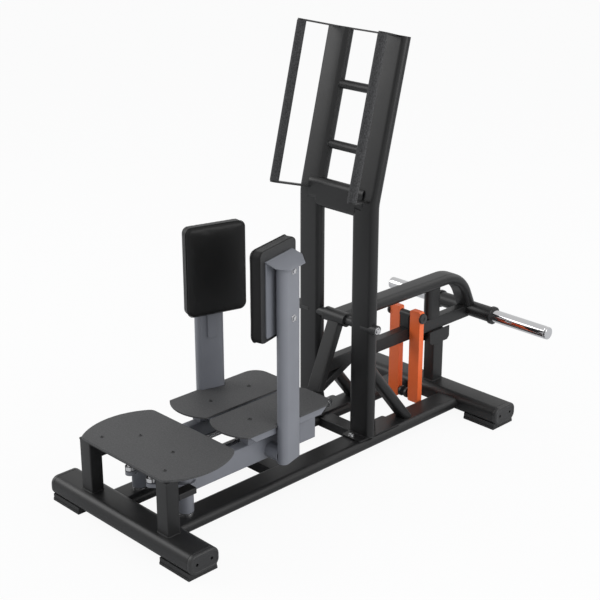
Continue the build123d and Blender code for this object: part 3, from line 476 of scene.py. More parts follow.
# ---- studio
@dataclass
class Studio:
    """Pale floor, soft lamps and the camera."""

    lens: float = 80.595
    eye: Point = (3.174444, -3.175665, 2.295)
    azimuth: float = 45.645
    elevation: float = 20.70
    fill: float = 0.56
    gloss: float = 0.8
    floor_glow: float = 0.93
    lamps: tuple = (("key", (-3.6, -2.4, 3.0), 2.6, 72.0),
                    ("side", (4.2, 0.6, 2.4), 2.6, 74.0),
                    ("rear", (0.8, 4.2, 3.0), 3.0, 30.0))
    aim_z: float = 0.6
    floor_half: float = 30.0

    def camera(self) -> None:
        """Place the camera from its view angles."""
        a, e = math.radians(self.azimuth), math.radians(self.elevation)
        right = np.array([math.cos(a), math.sin(a), 0.0])
        back = np.array([math.sin(a) * math.cos(e), -math.cos(a) * math.cos(e), math.sin(e)])
        up = np.cross(back, right)
        data = bpy.data.cameras.new("camera")
        data.lens = self.lens
        data.sensor_width = 36.0
        data.clip_end = 60.0
        eye = bpy.data.objects.new("camera", data)
        turn = Matrix(np.column_stack([right, up, back]).tolist()).to_4x4()
        eye.matrix_world = Matrix.Translation(self.eye) @ turn
        bpy.context.scene.collection.objects.link(eye)
        bpy.context.scene.camera = eye

    def lights(self) -> None:
        """Place the soft lamps, each turned to the machine."""
        for name, spot, size, power in self.lamps:
            data = bpy.data.lights.new(name, "AREA")
            data.shape = "SQUARE"
            data.size = size
            data.energy = power
            lamp = bpy.data.objects.new(name, data)
            aim = -np.array(spot) + np.array([0.0, 0.0, self.aim_z])
            lamp.location = spot
            lamp.rotation_euler = Matrix(self.turned(aim).tolist()).to_euler()
            bpy.context.scene.collection.objects.link(lamp)

    @staticmethod
    def turned(aim: np.ndarray) -> np.ndarray:
        """Rotation matrix whose -Z points along the aim."""
        back = -aim / np.linalg.norm(aim)
        side = np.cross([0.0, 0.0, 1.0], back)
        side /= np.linalg.norm(side)
        return np.column_stack([side, np.cross(back, side), back])

    def world(self) -> None:
        """White sky for the camera and for gloss, softer light for the rest."""
        world = bpy.data.worlds.new("studio")
        bpy.context.scene.world = world
        world.use_nodes = True
        lay = Layout(world.node_tree, "ShaderNodeOutputWorld")
        camera = lay.node("ShaderNodeLightPath", {}, {}, "Is Camera Ray")
        glossy = lay.node("ShaderNodeLightPath", {}, {}, "Is Glossy Ray")
        white = lay.node("ShaderNodeBackground", {}, {"Color": (1.0, 1.0, 1.0, 1.0), "Strength": 1.0})
        shine = lay.node("ShaderNodeBackground", {}, {"Color": (1.0, 1.0, 1.0, 1.0), "Strength": self.gloss})
        soft = lay.node("ShaderNodeBackground", {}, {"Color": (0.95, 0.97, 1.0, 1.0), "Strength": self.fill})
        lit = lay.node("ShaderNodeMixShader", {}, {0: glossy, 1: soft, 2: shine})
        lay.close(lay.node("ShaderNodeMixShader", {}, {0: camera, 1: lit, 2: white}))

    def floor(self) -> None:
        """Wide white floor that keeps the machine's soft shadow."""
        half = self.floor_half
        corners = [(-half, -half, 0), (half, -half, 0), (half, half, 0), (-half, half, 0)]
        data = bpy.data.meshes.new("floor")
        data.from_pydata(corners, [], [(0, 1, 2, 3)])
        floor = bpy.data.objects.new("floor", data)
        bpy.context.scene.collection.objects.link(floor)
        r = Recipe("floor")
        path = r.node("ShaderNodeLightPath", {}, {}, "Is Camera Ray")
        paint = r.node("ShaderNodeBsdfDiffuse", {}, {"Color": (0.86, 0.86, 0.86, 1.0)})
        glow = r.node("ShaderNodeEmission", {}, {"Color": (1.0, 1.0, 1.0, 1.0), "Strength": 1.0})
        r.close(r.node("ShaderNodeMixShader", {}, {0: path * self.floor_glow, 1: paint, 2: glow}))
        data.materials.append(r.material)

    def build(self) -> None:
        """Set up the whole studio."""
        bpy.context.scene.view_settings.view_transform = "Standard"
        self.camera()
        self.lights()
        self.world()
        self.floor()


# ---- frame nodes that keep their shape
@dataclass
class CarriedParts:
    """The frame's own nodes, given their finishes."""

    shop: Workshop

    def build(self) -> None:
        """Dress every node by the record's slot."""
        for part in self.shop.frame["record"]["subparts"]:
            piece = self.shop.frame["nodes"][part["node"]]
            angle = 0.0 if part["node"].endswith("foot_plate") else SMOOTH
            self.shop.dress(piece, Finish(part["material_slot"]), angle)
        LOG.info("dressed %d nodes", len(self.shop.frame["nodes"]))


# ---- forms
@dataclass(frozen=True)
class Seat:
    """Where a piece sits: a point of the drawing, the way out of it, and the way of its width."""

    origin: Point
    out: Point
    side: Point

    @classmethod
    def level(cls, x: float, y: float, z: float) -> "Seat":
        """Seat on a level face."""
        return cls((x, y, z), (0, 0, 1), (1, 0, 0))

    @classmethod
    def facing(cls, side: int, x: float, y: float, z: float) -> "Seat":
        """Seat on a face that looks to one side, x millimetres out from the middle."""
        return cls((side * x, y, z), (side, 0, 0), (0, 0, 1))

    def to_scene(self, local: np.ndarray) -> np.ndarray:
        """Local millimetres (side, up, out) as metres in the scene."""
        out = np.array(self.out) / np.linalg.norm(self.out)
        side = np.array(self.side) - out * float(np.dot(self.side, out))
        side /= np.linalg.norm(side)
        up = np.cross(out, side)
        spot = np.array(self.origin) + local[..., :1] * side + local[..., 1:2] * up + local[..., 2:3] * out
        return spot * MM - np.array([0.0, ORIGIN_Y, 0.0])


class Shells:
    """Closed shells gathered into one piece."""

    def __init__(self) -> None:
        """Start empty."""
        self.points: list[np.ndarray] = []
        self.faces: list[tuple] = []
        self.count = 0

    def skin(self, rings: np.ndarray, ends: bool = True) -> None:
        """Join rings of equal length into a skin.

        The surface is the grid of row and angle: corner (r, c) meets (r, c+1) and (r+1, c), and
        the angle runs round to its start. A skin without ends also runs round from row to row.

        Args:
            rings: rows by angle by three, in metres.
            ends: close the first and the last ring with a face each.
        """
        rows, n = rings.shape[:2]
        r, c = np.meshgrid(np.arange(rows - 1 if ends else rows), np.arange(n), indexing="ij")
        r2, c2 = (r + 1) % rows, (c + 1) % n
        quads = np.stack([r * n + c, r * n + c2, r2 * n + c2, r2 * n + c], axis=-1).reshape(-1, 4)
        self.faces += [tuple(quad) for quad in (quads + self.count).tolist()]
        if ends:
            self.faces += [tuple(range(self.count, self.count + n)),
                           tuple(range(self.count + (rows - 1) * n, self.count + rows * n))]
        self.points.append(rings.reshape(-1, 3))
        self.count += rows * n

    def turned(self, seat: Seat, profile: Profile, steps: int, flats: float = 0.0) -> None:
        """Turned form, six-sided where its radius passes the flats.

        At angle t and height h the radius is the profile's, but no more than half the width
        across flats over the cosine of the angle from the middle of the nearest flat.

        Args:
            seat: place and way out.
            profile: radius and height in millimetres.
            steps: corners round.
            flats: width across flats, or 0 for a round form.
        """
        t = np.linspace(0.0, 2 * math.pi, steps, endpoint=False)
        radius = np.array([p[0] for p in profile])[:, None] * np.ones_like(t)
        if flats > 0.0:
            radius = np.minimum(radius, flats / 2 / np.cos((t % (math.pi / 3)) - math.pi / 6))
        height = np.array([p[1] for p in profile])[:, None] * np.ones_like(t)
        local = np.stack([radius * np.cos(t), radius * np.sin(t), height], axis=-1)
        self.skin(seat.to_scene(local))

    def bolt(self, seat: Seat, washer: float, flats: float, high: float, thick: float = 1.6) -> None:
        """Hexagon head on a washer.

        Args:
            seat: place on the face below, and way out.
            washer: the washer's radius in millimetres.
            flats: width across flats.
            high: height of the head.
            thick: thickness of the washer.
        """
        self.turned(seat, washer_ring(washer, thick), 40)
        self.turned(seat, hex_head(flats, high, thick), 48, flats)

    def bead(self, path: np.ndarray, lift: np.ndarray, radius: float, pitch: float = 4.0) -> None:
        """Weld bead: a small tube round a closed path, swelling once every pitch of its length.

        At distance s and angle t the tube's radius is r (1 + 0.16 |sin(pi s / pitch)|), measured
        in the plane of the lift and the cross product of the path's direction with it.

        Args:
            path: closed path in drawing millimetres, n by 3.
            lift: one direction away from the surface, by point or for all.
            radius: tube radius in millimetres.
            pitch: length of one ripple.
        """
        ahead = np.roll(path, -1, axis=0) - np.roll(path, 1, axis=0)
        ahead /= np.linalg.norm(ahead, axis=1, keepdims=True)
        lift = np.broadcast_to(lift, path.shape)
        across = np.cross(ahead, lift)
        across /= np.linalg.norm(across, axis=1, keepdims=True)
        up = np.cross(across, ahead)
        s = np.concatenate([[0.0], np.cumsum(np.linalg.norm(np.diff(path, axis=0), axis=1))])
        size = radius * (1.0 + 0.16 * np.abs(np.sin(math.pi * s / pitch)))[:, None, None]
        t = np.linspace(0.0, 2 * math.pi, 8, endpoint=False)[None, :, None]
        ring = path[:, None, :] + size * (np.cos(t) * across[:, None, :] + np.sin(t) * up[:, None, :])
        self.skin(ring * MM - np.array([0.0, ORIGIN_Y, 0.0]), ends=False)


def superloop(width: float, height: float, corner: float, spacing: float = 1.4) -> np.ndarray:
    """Points round a rounded rectangle, evenly spaced.

    Each quarter walks a quarter circle of the corner radius and the straight sides join them, and
    that loop is then sampled at equal lengths.

    Returns:
        Points n by 2, anticlockwise from the right side.
    """
    a = np.linspace(0.0, math.pi / 2, 13)
    quarter = np.arange(4)[:, None]
    sx = np.array([1.0, -1.0, -1.0, 1.0])[:, None]
    sy = np.array([1.0, 1.0, -1.0, -1.0])[:, None]
    turn = a + quarter * math.pi / 2
    loop = np.stack([sx * (width / 2 - corner) + corner * np.cos(turn),
                     sy * (height / 2 - corner) + corner * np.sin(turn)], axis=-1).reshape(-1, 2)
    closed = np.concatenate([loop, loop[:1]])
    s = np.concatenate([[0.0], np.cumsum(np.linalg.norm(np.diff(closed, axis=0), axis=1))])
    at = np.linspace(0.0, s[-1], max(24, int(s[-1] / spacing)), endpoint=False)
    return np.stack([np.interp(at, s, closed[:, 0]), np.interp(at, s, closed[:, 1])], axis=-1)


def even_loop(width: float, height: float, corner: float, count: int) -> np.ndarray:
    """A rounded rectangle with a set number of points."""
    fine = superloop(width, height, corner, 0.25)
    return fine[np.linspace(0, len(fine), count, endpoint=False).astype(int)]


def hex_head(flats: float, high: float, base: float) -> Profile:
    """Profile of a chamfered hexagon head over a base height, for turned() with the same flats."""
    corner, top = flats / math.sqrt(3.0), base + high
    return [(corner, base), (corner, top - 1.2), (corner * 0.93, top - 0.3), (corner * 0.86, top)]


def washer_ring(radius: float, thick: float) -> Profile:
    """Profile of a flat washer with broken edges."""
    return [(radius - 0.3, 0.0), (radius, 0.3), (radius, thick - 0.3), (radius - 0.3, thick)]


def screw(radius: float, high: float, socket: float, deep: float, shank: float = 4.0) -> Profile:
    """Profile of a button-head screw with a blind socket.

    The dome is the radius times the cosine against the height times the sine of one angle.

    Args:
        radius: radius of the head in millimetres.
        high: height that the dome would have in full.
        socket: radius of the socket.
        deep: reach of the shank below the face.
        shank: radius of the shank.

    Returns:
        Radius and height from the shank's foot to the socket's floor.
    """
    dome = [(radius * math.cos(v), high * math.sin(v)) for v in np.linspace(0.0, 1.15, 7)]
    top = dome[-1][1]
    return [(shank, -deep), (shank, -2.2), (radius, -2.0), *dome, (socket + 0.4, top),
            (socket, top - 0.3), (socket, top - high * 0.6), (0.2, top - high * 0.75)]


# ---- fasteners
@dataclass
class Fasteners:
    """Bolts, screws and nuts of the frame and of both swing arms.

    A screw is given by its head's radius and height, its socket's radius and its shank's depth,
    and a bolt by its washer's radius, its width across flats and its height, with the washer's
    thickness where that isn't the usual one.
    """

    shop: Workshop
    step_z: float = 286.0
    step_spots: tuple = ((166.0, 77.0), (-166.0, 77.0), (85.0, 176.0), (-85.0, 176.0))
    step_screw: tuple = (7.2, 3.0, 2.8, 14.0)
    foot_z: float = 302.0
    foot_x: float = 102.0
    foot_ys: tuple = (499.0, 682.0)
    foot_screw: tuple = (8.5, 3.4, 3.0, 10.0)
    screw_steps: int = 36
    post: tuple = (202.0, 586.0)
    toe: float = 15.0
    post_zs: tuple = (679.0, 844.0)
    post_face: float = 21.0
    post_bolt: tuple = (12.4, 17.0, 6.4)
    crank_tip: tuple = (56.0, 106.0)
    stud: float = 6.0
    stud_foot: float = 179.0
    stud_top: float = 211.0
    stud_nut: tuple = (10.2, 16.0, 5.4)
    axle: tuple = (200.0, 1028.0, 503.0)
    axle_bolt: tuple = (13.0, 18.4, 6.6, 1.4)
    base_spot: tuple = (121.0, 985.0, 78.0)
    base_bolt: tuple = (11.0, 17.0, 7.0)
    brace_spot: tuple = (112.0, 1298.0, 72.0)
    brace_bolt: tuple = (9.0, 14.0, 6.0)

    def step(self) -> None:
        """Dark button-head screws through the step plate."""
        shells = Shells()
        for x, y in self.step_spots:
            shells.turned(Seat.level(x, y, self.step_z), screw(*self.step_screw), self.screw_steps)
        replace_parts(self.shop.piece("step_screw_heads", shells, Finish.CAP, "frame"), "step_screws")

    def swing(self, side: int) -> None:
        """Foot plate screws, pad bolts with washers and the crank's stud on one arm."""
        arm = f"{hand(side)}_arm"
        dark, bright = Shells(), Shells()
        for y in self.foot_ys:
            seat = Seat.level(side * self.foot_x, y, self.foot_z)
            dark.turned(seat, screw(*self.foot_screw), self.screw_steps)
        t = math.radians(self.toe)
        away = (side * math.cos(t), math.sin(t), 0.0)
        for z in self.post_zs:
            spot = (side * (self.post[0] + self.post_face * math.cos(t)),
                    self.post[1] + self.post_face * math.sin(t), z)
            bright.bolt(Seat(spot, away, (0, 0, 1)), *self.post_bolt)
        nut = Seat.level(side * self.crank_tip[0], self.crank_tip[1], self.stud_top)
        bright.turned(nut, [(self.stud, self.stud_foot - self.stud_top), (self.stud, 0.0)], 32)
        bright.bolt(nut, *self.stud_nut)
        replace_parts(self.shop.piece(f"{arm}_bolts", bright, Finish.STEEL, arm), f"{arm}_fasteners")
        self.shop.piece(f"{hand(side)}_foot_screws", dark, Finish.CAP, arm)

    def frame_bolts(self) -> None:
        """Hexagon heads on the pivot axle's ends, the uprights' base plates and behind the braces."""
        bright, dark = Shells(), Shells()
        for side in (1, -1):
            bright.bolt(Seat.facing(side, *self.axle), *self.axle_bolt)
            bright.bolt(Seat.level(side * self.base_spot[0], *self.base_spot[1:]), *self.base_bolt)
            dark.bolt(Seat.level(side * self.brace_spot[0], *self.brace_spot[1:]), *self.brace_bolt)
        self.shop.piece("frame_bolt_heads", bright, Finish.STEEL, "frame")
        self.shop.piece("brace_bolt_heads", dark, Finish.CAP, "frame")

    def build(self) -> None:
        """Make every fastener."""
        self.step()
        for side in (1, -1):
            self.swing(side)
        self.frame_bolts()
        LOG.info("fasteners")


# ---- weight horns
@dataclass
class WeightHorns:
    """Turned and plated horns with a broken edge and a seated end disc."""

    shop: Workshop
    y: float = 1786.0
    z: float = 338.0
    radius: float = 25.0
    root: float = 127.0
    tip: float = 396.0
    end: float = 406.0
    steps: int = 112

    def build(self) -> None:
        """Turn both horns, then their end discs."""
        bars, discs = Shells(), Shells()
        r, tip, end = self.radius, self.tip, self.end
        bar = [(r - 2.0, self.root), (r, self.root), (r, tip - 0.8), (r - 0.8, tip)]
        disc = [(r - 1.4, tip - 4.0), (r - 1.4, tip + 0.4), (r - 0.6, tip + 0.9), (r - 0.6, end - 2.6),
                (r - 1.2, end - 1.0), (r - 2.8, end), (r - 9.0, end)]
        for side in (1, -1):
            seat = Seat.facing(side, 0.0, self.y, self.z)
            bars.turned(seat, bar, self.steps)
            discs.turned(seat, disc, self.steps)
        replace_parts(self.shop.piece("horn_bars", bars, Finish.CHROME, "lever"), "weight_horns")
        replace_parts(self.shop.piece("horn_end_discs", discs, Finish.CHROME, "lever"), "horn_end_caps")
        LOG.info("weight horns")


# ---- plastic ends
@dataclass
class PlasticEnds:
    """End caps of the crossbars and the round caps on the hanger pin.

    The rim lists inset and depth from the cap's root to its dished face, the bore widening over
    the hole and depth of each screw hole, and the button radius and height of a round cap.
    """

    shop: Workshop
    half: float = 356.0
    rows: tuple = (("front", 59.0), ("rear", 1580.0))
    mid_z: float = 52.0
    wide: float = 120.0
    high: float = 70.0
    corner: float = 28.0
    count: int = 160
    rim: tuple = ((0.4, -6.0), (0.4, 0.0), (1.1, 0.3), (1.1, 1.1), (0.0, 1.6), (-0.2, 3.0), (-0.2, 11.0),
                  (0.5, 14.0), (2.2, 16.4), (4.6, 17.6), (7.2, 18.0), (9.4, 17.7), (10.4, 16.9),
                  (11.4, 16.5), (24.0, 16.5))
    hole: float = 5.2
    hole_spread: float = 30.0
    bore: tuple = ((0.0, 9.0), (0.0, 16.0), (0.9, 17.2), (0.9, 30.0))
    pin: tuple = (77.0, 1418.0, 408.0)
    button: tuple = ((19.6, 0.0), (20.0, 0.5), (20.0, 6.4), (19.2, 8.2), (17.6, 9.0), (7.4, 9.0),
                     (6.6, 8.2), (6.4, 6.6), (3.2, 6.6), (3.0, 7.4), (2.4, 7.8))

    def cap(self, side: int, row: str, y: float) -> bpy.types.Object:
        """One end cap, a seam at its root, a rolled rim and a dished face.

        The surface is the crossbar's outline drawn in by an inset and pushed out by a depth,
        both read from the rim.
        """
        cap, drill = Shells(), Shells()
        rings = [np.column_stack([self.loop(inset), np.full(self.count, deep)]) for inset, deep in self.rim]
        cap.skin(Seat((side * self.half, y, self.mid_z), (side, 0, 0), (0, 1, 0)).to_scene(np.stack(rings)))
        for along in (self.hole_spread, -self.hole_spread):
            seat = Seat((side * self.half, y + along, self.mid_z), (side, 0, 0), (0, 1, 0))
            drill.turned(seat, [(self.hole + wider, deep) for wider, deep in self.bore], 32)
        piece = self.shop.piece(f"{row}_{hand(side)}_cap", cap, Finish.CAP, "frame")
        tool = self.shop.piece(f"{row}_{hand(side)}_drill", drill, Finish.CAP, "frame")
        cut = piece.modifiers.new("holes", "BOOLEAN")
        cut.operation, cut.solver, cut.object = "DIFFERENCE", "EXACT", tool
        piece.modifiers.move(len(piece.modifiers) - 1, 0)
        settle(piece)
        bpy.data.objects.remove(tool)
        return piece

    def loop(self, inset: float) -> np.ndarray:
        """The crossbar's outline drawn in by an inset."""
        corner = max(self.corner - inset, 2.0)
        return even_loop(self.wide - 2 * inset, self.high - 2 * inset, corner, self.count)

    def round_caps(self) -> None:
        """Round caps on the hanger pin, with a recess round a small centre."""
        shells = Shells()
        for side in (1, -1):
            shells.turned(Seat.facing(side, *self.pin), self.button, 56)
        piece = self.shop.piece("hanger_pin_end_caps", shells, Finish.CAP, "lever")
        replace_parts(piece, "hanger_pin_caps")

    def build(self) -> None:
        """Make the caps, which stand for the plain ones."""
        caps = [self.cap(side, row, y) for row, y in self.rows for side in (1, -1)]
        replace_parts(caps[0], "crossbar_end_caps")
        self.round_caps()
        LOG.info("plastic ends")


# ---- welds
@dataclass
class Welds:
    """Rippled fillet beads where the tubes and plates of the frame are joined."""

    shop: Workshop
    rail_x: float = 132.0
    upright_y: float = 1031.0
    oval: tuple = (108.0, 42.0)
    base_z: float = 78.0
    bend_z: float = 958.0
    lean: float = 14.0
    rung_zs: tuple = (1128.0, 1335.0)
    rung_r: float = 16.0
    crossbar_z: float = 87.0
    leg_spot: tuple = (202.0, 56.0)
    leg: tuple = (56.0, 50.0)
    rest_y: float = 1586.0
    rest: tuple = (50.0, 60.0)
    corner: float = 4.0
    foot_bead: float = 2.4
    rung_bead: float = 2.2
    sink: float = 0.6
    least: float = 2.0

    def flat(self, shells: Shells, centre: Point, size: tuple, corner: float) -> None:
        """Bead round a tube's foot on a level face."""
        loop = superloop(*size, corner)
        path = np.column_stack([loop + centre[:2], np.full(len(loop), centre[2])])
        shells.bead(path, np.array([0.0, 0.0, 1.0]), self.foot_bead)

    def saddle(self, shells: Shells, side: int, z: float) -> None:
        """Bead where a rung enters the rounded edge of a leaning upright.

        At angle t round the rung, y' is r cos t across the lean, z' is r sin t along it, and x is
        the edge's centre less the root of its radius squared less y' squared, and less the sink.
        """
        t = np.linspace(0.0, 2 * math.pi, 72, endpoint=False)
        edge = self.oval[1] / 2
        across, along = self.rung_r * np.cos(t), self.rung_r * np.sin(t)
        root = np.sqrt(np.maximum(edge ** 2 - across ** 2, self.least ** 2))
        x = self.rail_x - self.oval[0] / 2 + edge - root - self.sink
        a = math.radians(self.lean)
        y = self.upright_y + (z - self.bend_z) * math.tan(a) + across * math.cos(a) + along * math.sin(a)
        up = z - across * math.sin(a) + along * math.cos(a)
        shells.bead(np.column_stack([side * x, y, up]), np.array([-side, 0.0, 0.0]), self.rung_bead)

    def build(self) -> None:
        """Lay the beads of the frame."""
        shells = Shells()
        for side in (1, -1):
            self.flat(shells, (side * self.rail_x, self.upright_y, self.base_z), self.oval, self.oval[1] / 2)
            spot = (side * self.leg_spot[0], self.leg_spot[1], self.crossbar_z)
            self.flat(shells, spot, self.leg, self.corner)
            for z in self.rung_zs:
                self.saddle(shells, side, z)
        self.flat(shells, (0.0, self.rest_y, self.crossbar_z), self.rest, self.corner)
        self.shop.piece("frame_welds", shells, Finish.BLACK, "frame")
        LOG.info("welds")


# ---- thigh pads
@dataclass
class ThighPad:
    """Foam pad under vinyl on a board, swollen by a short cloth simulation."""

    shop: Workshop
    side: int
    centre: Point = (202.0, 586.0, 766.0)
    toe: float = 15.0
    back: float = 35.3
    long: float = 228.0
    high: float = 325.0
    thick: float = 50.0
    corner: float = 26.0
    shrink: float = 2.0
    roll: float = 11.0
    welt: float = 1.1
    welt_inset: float = 1.6
    board: float = 5.0
    loft: float = 4.0
    rim_share: float = 0.15
    wall_share: float = 0.3
    seam_reach: float = 5.0
    back_reach: float = 8.0
    pressure: float = 4.0
    voxel: float = 0.005

    @property
    def name(self) -> str:
        """Name of the side."""
        return hand(self.side)

    @property
    def seam(self) -> float:
        """Depth of the sewn line, where the wall meets the rolled edge."""
        return self.thick - self.shrink - self.loft / 2 - self.roll

    def to_scene(self, local: np.ndarray) -> np.ndarray:
        """Pad coordinates (out of the face, along, up) in millimetres to the scene."""
        t = math.radians(self.toe)
        depth, along, up = local[..., 0], local[..., 1], local[..., 2]
        x = self.centre[0] - (self.back + depth) * math.cos(t) - along * math.sin(t)
        y = self.centre[1] - (self.back + depth) * math.sin(t) + along * math.cos(t)
        return np.stack([self.side * x * MM, y * MM - ORIGIN_Y, (self.centre[2] + up) * MM], axis=-1)

    def outline(self, t: np.ndarray, inset: float) -> tuple[np.ndarray, np.ndarray]:
        """Rounded rectangle drawn in by an inset.

        The angle t is folded into the four corners: each quarter walks a quarter circle of the
        corner radius, and the straight sides are the steps between them.
        """
        quarter = np.floor(t * 4) % 4
        a = (t * 4 - np.floor(t * 4)) * math.pi / 2 + quarter * math.pi / 2
        sx = np.where((quarter == 0) | (quarter == 3), 1.0, -1.0)
        sy = np.where(quarter < 2, 1.0, -1.0)
        radius = max(self.corner - inset, 1.0)
        w, h = self.long / 2 - inset, self.high / 2 - inset
        return sx * (w - radius) + radius * np.cos(a), sy * (h - radius) + radius * np.sin(a)

    def ring(self, depth: float, inset: float, count: int) -> np.ndarray:
        """The outline at a depth, drawn in by an inset, in pad coordinates."""
        along, up = self.outline(np.linspace(0, 1, count, endpoint=False), inset)
        return np.stack([np.full(count, depth), along, up], axis=-1)

    def blank(self) -> Shells:
        """Closed start shape: back face, straight wall, rolled front edge and front face.

        Over the roll, at angle a, the inset is r (1 - cos a) and the depth the sewn line's plus
        r sin a.
        """
        turn = np.linspace(0, math.pi / 2, 7)
        inset = self.shrink + np.concatenate([[3.0], np.zeros(4), self.roll * (1 - np.cos(turn))])
        wall = np.linspace(self.back_reach, self.seam - 4.0, 3)
        depth = np.concatenate([[0.0, 3.0], wall, self.seam + self.roll * np.sin(turn)])
        shells = Shells()
        shells.skin(self.to_scene(np.stack([self.ring(d, i, 160) for d, i in zip(depth, inset)])))
        return shells

    def local(self, points: np.ndarray) -> np.ndarray:
        """Scene points back to the pad's depth, along and up, in millimetres."""
        t = math.radians(self.toe)
        x = self.side * points[:, 0] / MM - self.centre[0]
        y = (points[:, 1] + ORIGIN_Y) / MM - self.centre[1]
        return np.stack([-(x * math.cos(t) + y * math.sin(t)) - self.back,
                         -x * math.sin(t) + y * math.cos(t), points[:, 2] / MM - self.centre[2]], axis=-1)

    def give(self, start: np.ndarray) -> np.ndarray:
        """How far each point may swell, in metres.

        Over the face the loft times the rim's share, and the rest of it times one less the fourth
        power of the distance from the middle in half widths, along times up. Over the wall the
        loft times the wall's share. Both fade to none at the sewn line and at the board.
        """
        depth, along, up = self.local(start).T
        flat = np.clip(1 - (2 * along / self.long) ** 4, 0, 1)
        tall = np.clip(1 - (2 * up / self.high) ** 4, 0, 1)
        crown = self.rim_share + (1 - self.rim_share) * flat * tall
        share = np.where(depth > self.seam, crown, self.wall_share)
        sewn = np.clip(np.abs(depth - self.seam) / self.seam_reach, 0.0, 1.0)
        return self.loft * MM * share * sewn * np.clip(depth / self.back_reach, 0.0, 1.0)

    def trim(self) -> None:
        """Piping sewn round the wall and the board behind the pad.

        The piping is a torus over the outline: at angle u round the cord the outline's inset is
        the cord's own less r cos u, and the depth is the sewn line's plus r sin u.
        """
        r, turn = self.welt, np.linspace(0, 2 * math.pi, 10, endpoint=False)
        cord = [self.ring(self.seam + r * math.sin(u), self.welt_inset - r * math.cos(u), 200) for u in turn]
        piping = Shells()
        piping.skin(self.to_scene(np.stack(cord)), ends=False)
        self.shop.piece(f"{self.name}_pad_piping", piping, Finish.VINYL, f"{self.name}_arm")
        profile = [(-0.4, 7.0), (-0.2, 5.4), (0.6, 5.0), (self.board - 0.2, 5.0)]
        back = Shells()
        back.skin(self.to_scene(np.stack([self.ring(d, i, 200) for d, i in profile])))
        self.shop.piece(f"{self.name}_pad_board", back, Finish.CAP, f"{self.name}_arm")

    def build(self) -> None:
        """Make the pad, swell it, and put it in place of the plain solid."""
        pad = self.shop.piece(f"{self.name}_pad_cover", self.blank(), Finish.VINYL, f"{self.name}_arm")
        pad.modifiers.clear()
        remesh = pad.modifiers.new("remesh", "REMESH")
        remesh.mode = "VOXEL"
        remesh.voxel_size = self.voxel
        settle(pad)
        start = vertices(pad)
        swell(pad, self.pressure, self.give(start), start)
        sub = pad.modifiers.new("round", "SUBSURF")
        sub.levels = sub.render_levels = 1
        for polygon in pad.data.polygons:
            polygon.use_smooth = True
        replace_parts(pad, f"{self.name}_thigh_pad")
        self.trim()
        LOG.info("%s pad", self.name)


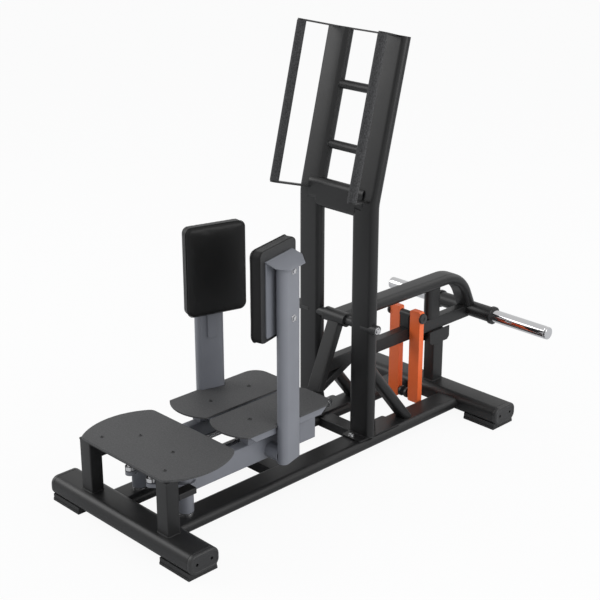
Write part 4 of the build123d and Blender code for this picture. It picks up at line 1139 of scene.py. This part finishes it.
@dataclass
class PadBracket:
    """Rail, back plate and sloping hood that carry one thigh pad.

    A plate is given by its width, its lower and upper edge and its thickness.
    """

    shop: Workshop
    side: int
    plate: tuple = (170.0, 622.0, 889.0, 6.0)
    plate_corner: float = 8.0
    rail: tuple = (34.0, 497.0, 880.0, 8.0)
    rail_corner: float = 3.0
    nose: float = 74.3
    nose_half: float = 46.0
    shoulder: float = 35.0
    half: float = 85.0
    slope: float = 19.0
    sheet: float = 4.0
    edge: float = 0.8

    def layers(self, thick: float) -> tuple:
        """Inset and depth of a sheet's four rings, whose edges are broken."""
        return (self.edge, 0.0), (0.0, self.edge), (0.0, thick - self.edge), (self.edge, thick)

    def slab(self, shells: Shells, pad: ThighPad, size: tuple, behind: float, corner: float) -> None:
        """Upright plate behind the pad: its rounded outline carried through its thickness."""
        wide, low, high, thick = size
        mid = (low + high) / 2 - pad.centre[2]
        rows = []
        for inset, deep in self.layers(thick):
            loop = even_loop(wide - 2 * inset, high - low - 2 * inset, corner, 96) + (0.0, mid)
            rows.append(np.column_stack([np.full(len(loop), -behind - deep), loop]))
        shells.skin(pad.to_scene(np.stack(rows)))

    def hood(self, shells: Shells, pad: ThighPad) -> None:
        """Sloping sheet over the post's top.

        Its plan is a house shape, straight from the plate to the shoulders and drawn in to the
        nose. The height falls from the plate's top by the tangent of the slope times the reach.
        """
        top = self.plate[2] - pad.centre[2]
        reach = np.array([0.0, self.nose - self.shoulder, self.nose])
        reach = np.concatenate([reach, reach[::-1]])
        along = np.array([self.half, self.half, self.nose_half])
        along = np.concatenate([-along, along[::-1]])
        fall = math.tan(math.radians(self.slope)) * reach
        rows = []
        for inset, drop in reversed(self.layers(self.sheet)):
            r = np.clip(reach, inset, self.nose - inset)
            a = np.sign(along) * (np.abs(along) - inset)
            rows.append(np.stack([-r, a, top - fall - drop], axis=-1))
        shells.skin(pad.to_scene(np.stack(rows)))

    def build(self) -> None:
        """Make the bracket in place of the plain one."""
        pad = ThighPad(self.shop, self.side)
        shells = Shells()
        self.slab(shells, pad, self.plate, 0.0, self.plate_corner)
        self.slab(shells, pad, self.rail, self.plate[3], self.rail_corner)
        self.hood(shells, pad)
        piece = self.shop.piece(f"{pad.name}_bracket_sheet", shells, Finish.GREY, f"{pad.name}_arm")
        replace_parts(piece, f"{pad.name}_pad_bracket")
        LOG.info("%s bracket", pad.name)


def vertices(piece: bpy.types.Object) -> np.ndarray:
    """Vertices of a mesh as an array."""
    flat = np.empty(len(piece.data.vertices) * 3)
    piece.data.vertices.foreach_get("co", flat)
    return flat.reshape(-1, 3)


def settle(piece: bpy.types.Object) -> None:
    """Apply every modifier to the mesh, keeping its materials."""
    graph = bpy.context.evaluated_depsgraph_get()
    data = bpy.data.meshes.new_from_object(piece.evaluated_get(graph))
    piece.modifiers.clear()
    piece.data = data


def swell(piece: bpy.types.Object, pressure: float, give: np.ndarray, start: np.ndarray,
          frames: int = 20) -> None:
    """Inflate a closed cloth for some frames and hold each point within its give of the start."""
    cloth = piece.modifiers.new("cloth", "CLOTH")
    cloth.settings.use_pressure = True
    cloth.settings.uniform_pressure_force = pressure
    cloth.settings.effector_weights.gravity = 0.0
    cloth.settings.tension_stiffness = 40.0
    cloth.settings.bending_stiffness = 2.0
    scene = bpy.context.scene
    for frame in range(1, frames + 1):
        scene.frame_set(frame)
    settle(piece)
    moved = vertices(piece) - start
    reach = np.linalg.norm(moved, axis=1, keepdims=True)
    held = start + moved * np.minimum(1.0, give[:, None] / np.maximum(reach, 1e-9))
    piece.data.vertices.foreach_set("co", held.ravel())
    piece.data.update()
    scene.frame_set(1)


def main() -> None:
    """Build the studio and each sub-assembly in order."""
    logging.basicConfig(level=logging.INFO, format="%(message)s")
    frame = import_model()
    shop = Workshop(frame)
    Studio().build()
    CarriedParts(shop).build()
    Fasteners(shop).build()
    WeightHorns(shop).build()
    PlasticEnds(shop).build()
    Welds(shop).build()
    for side in (1, -1):
        ThighPad(shop, side).build()
        PadBracket(shop, side).build()


if __name__ == "__main__":
    main()
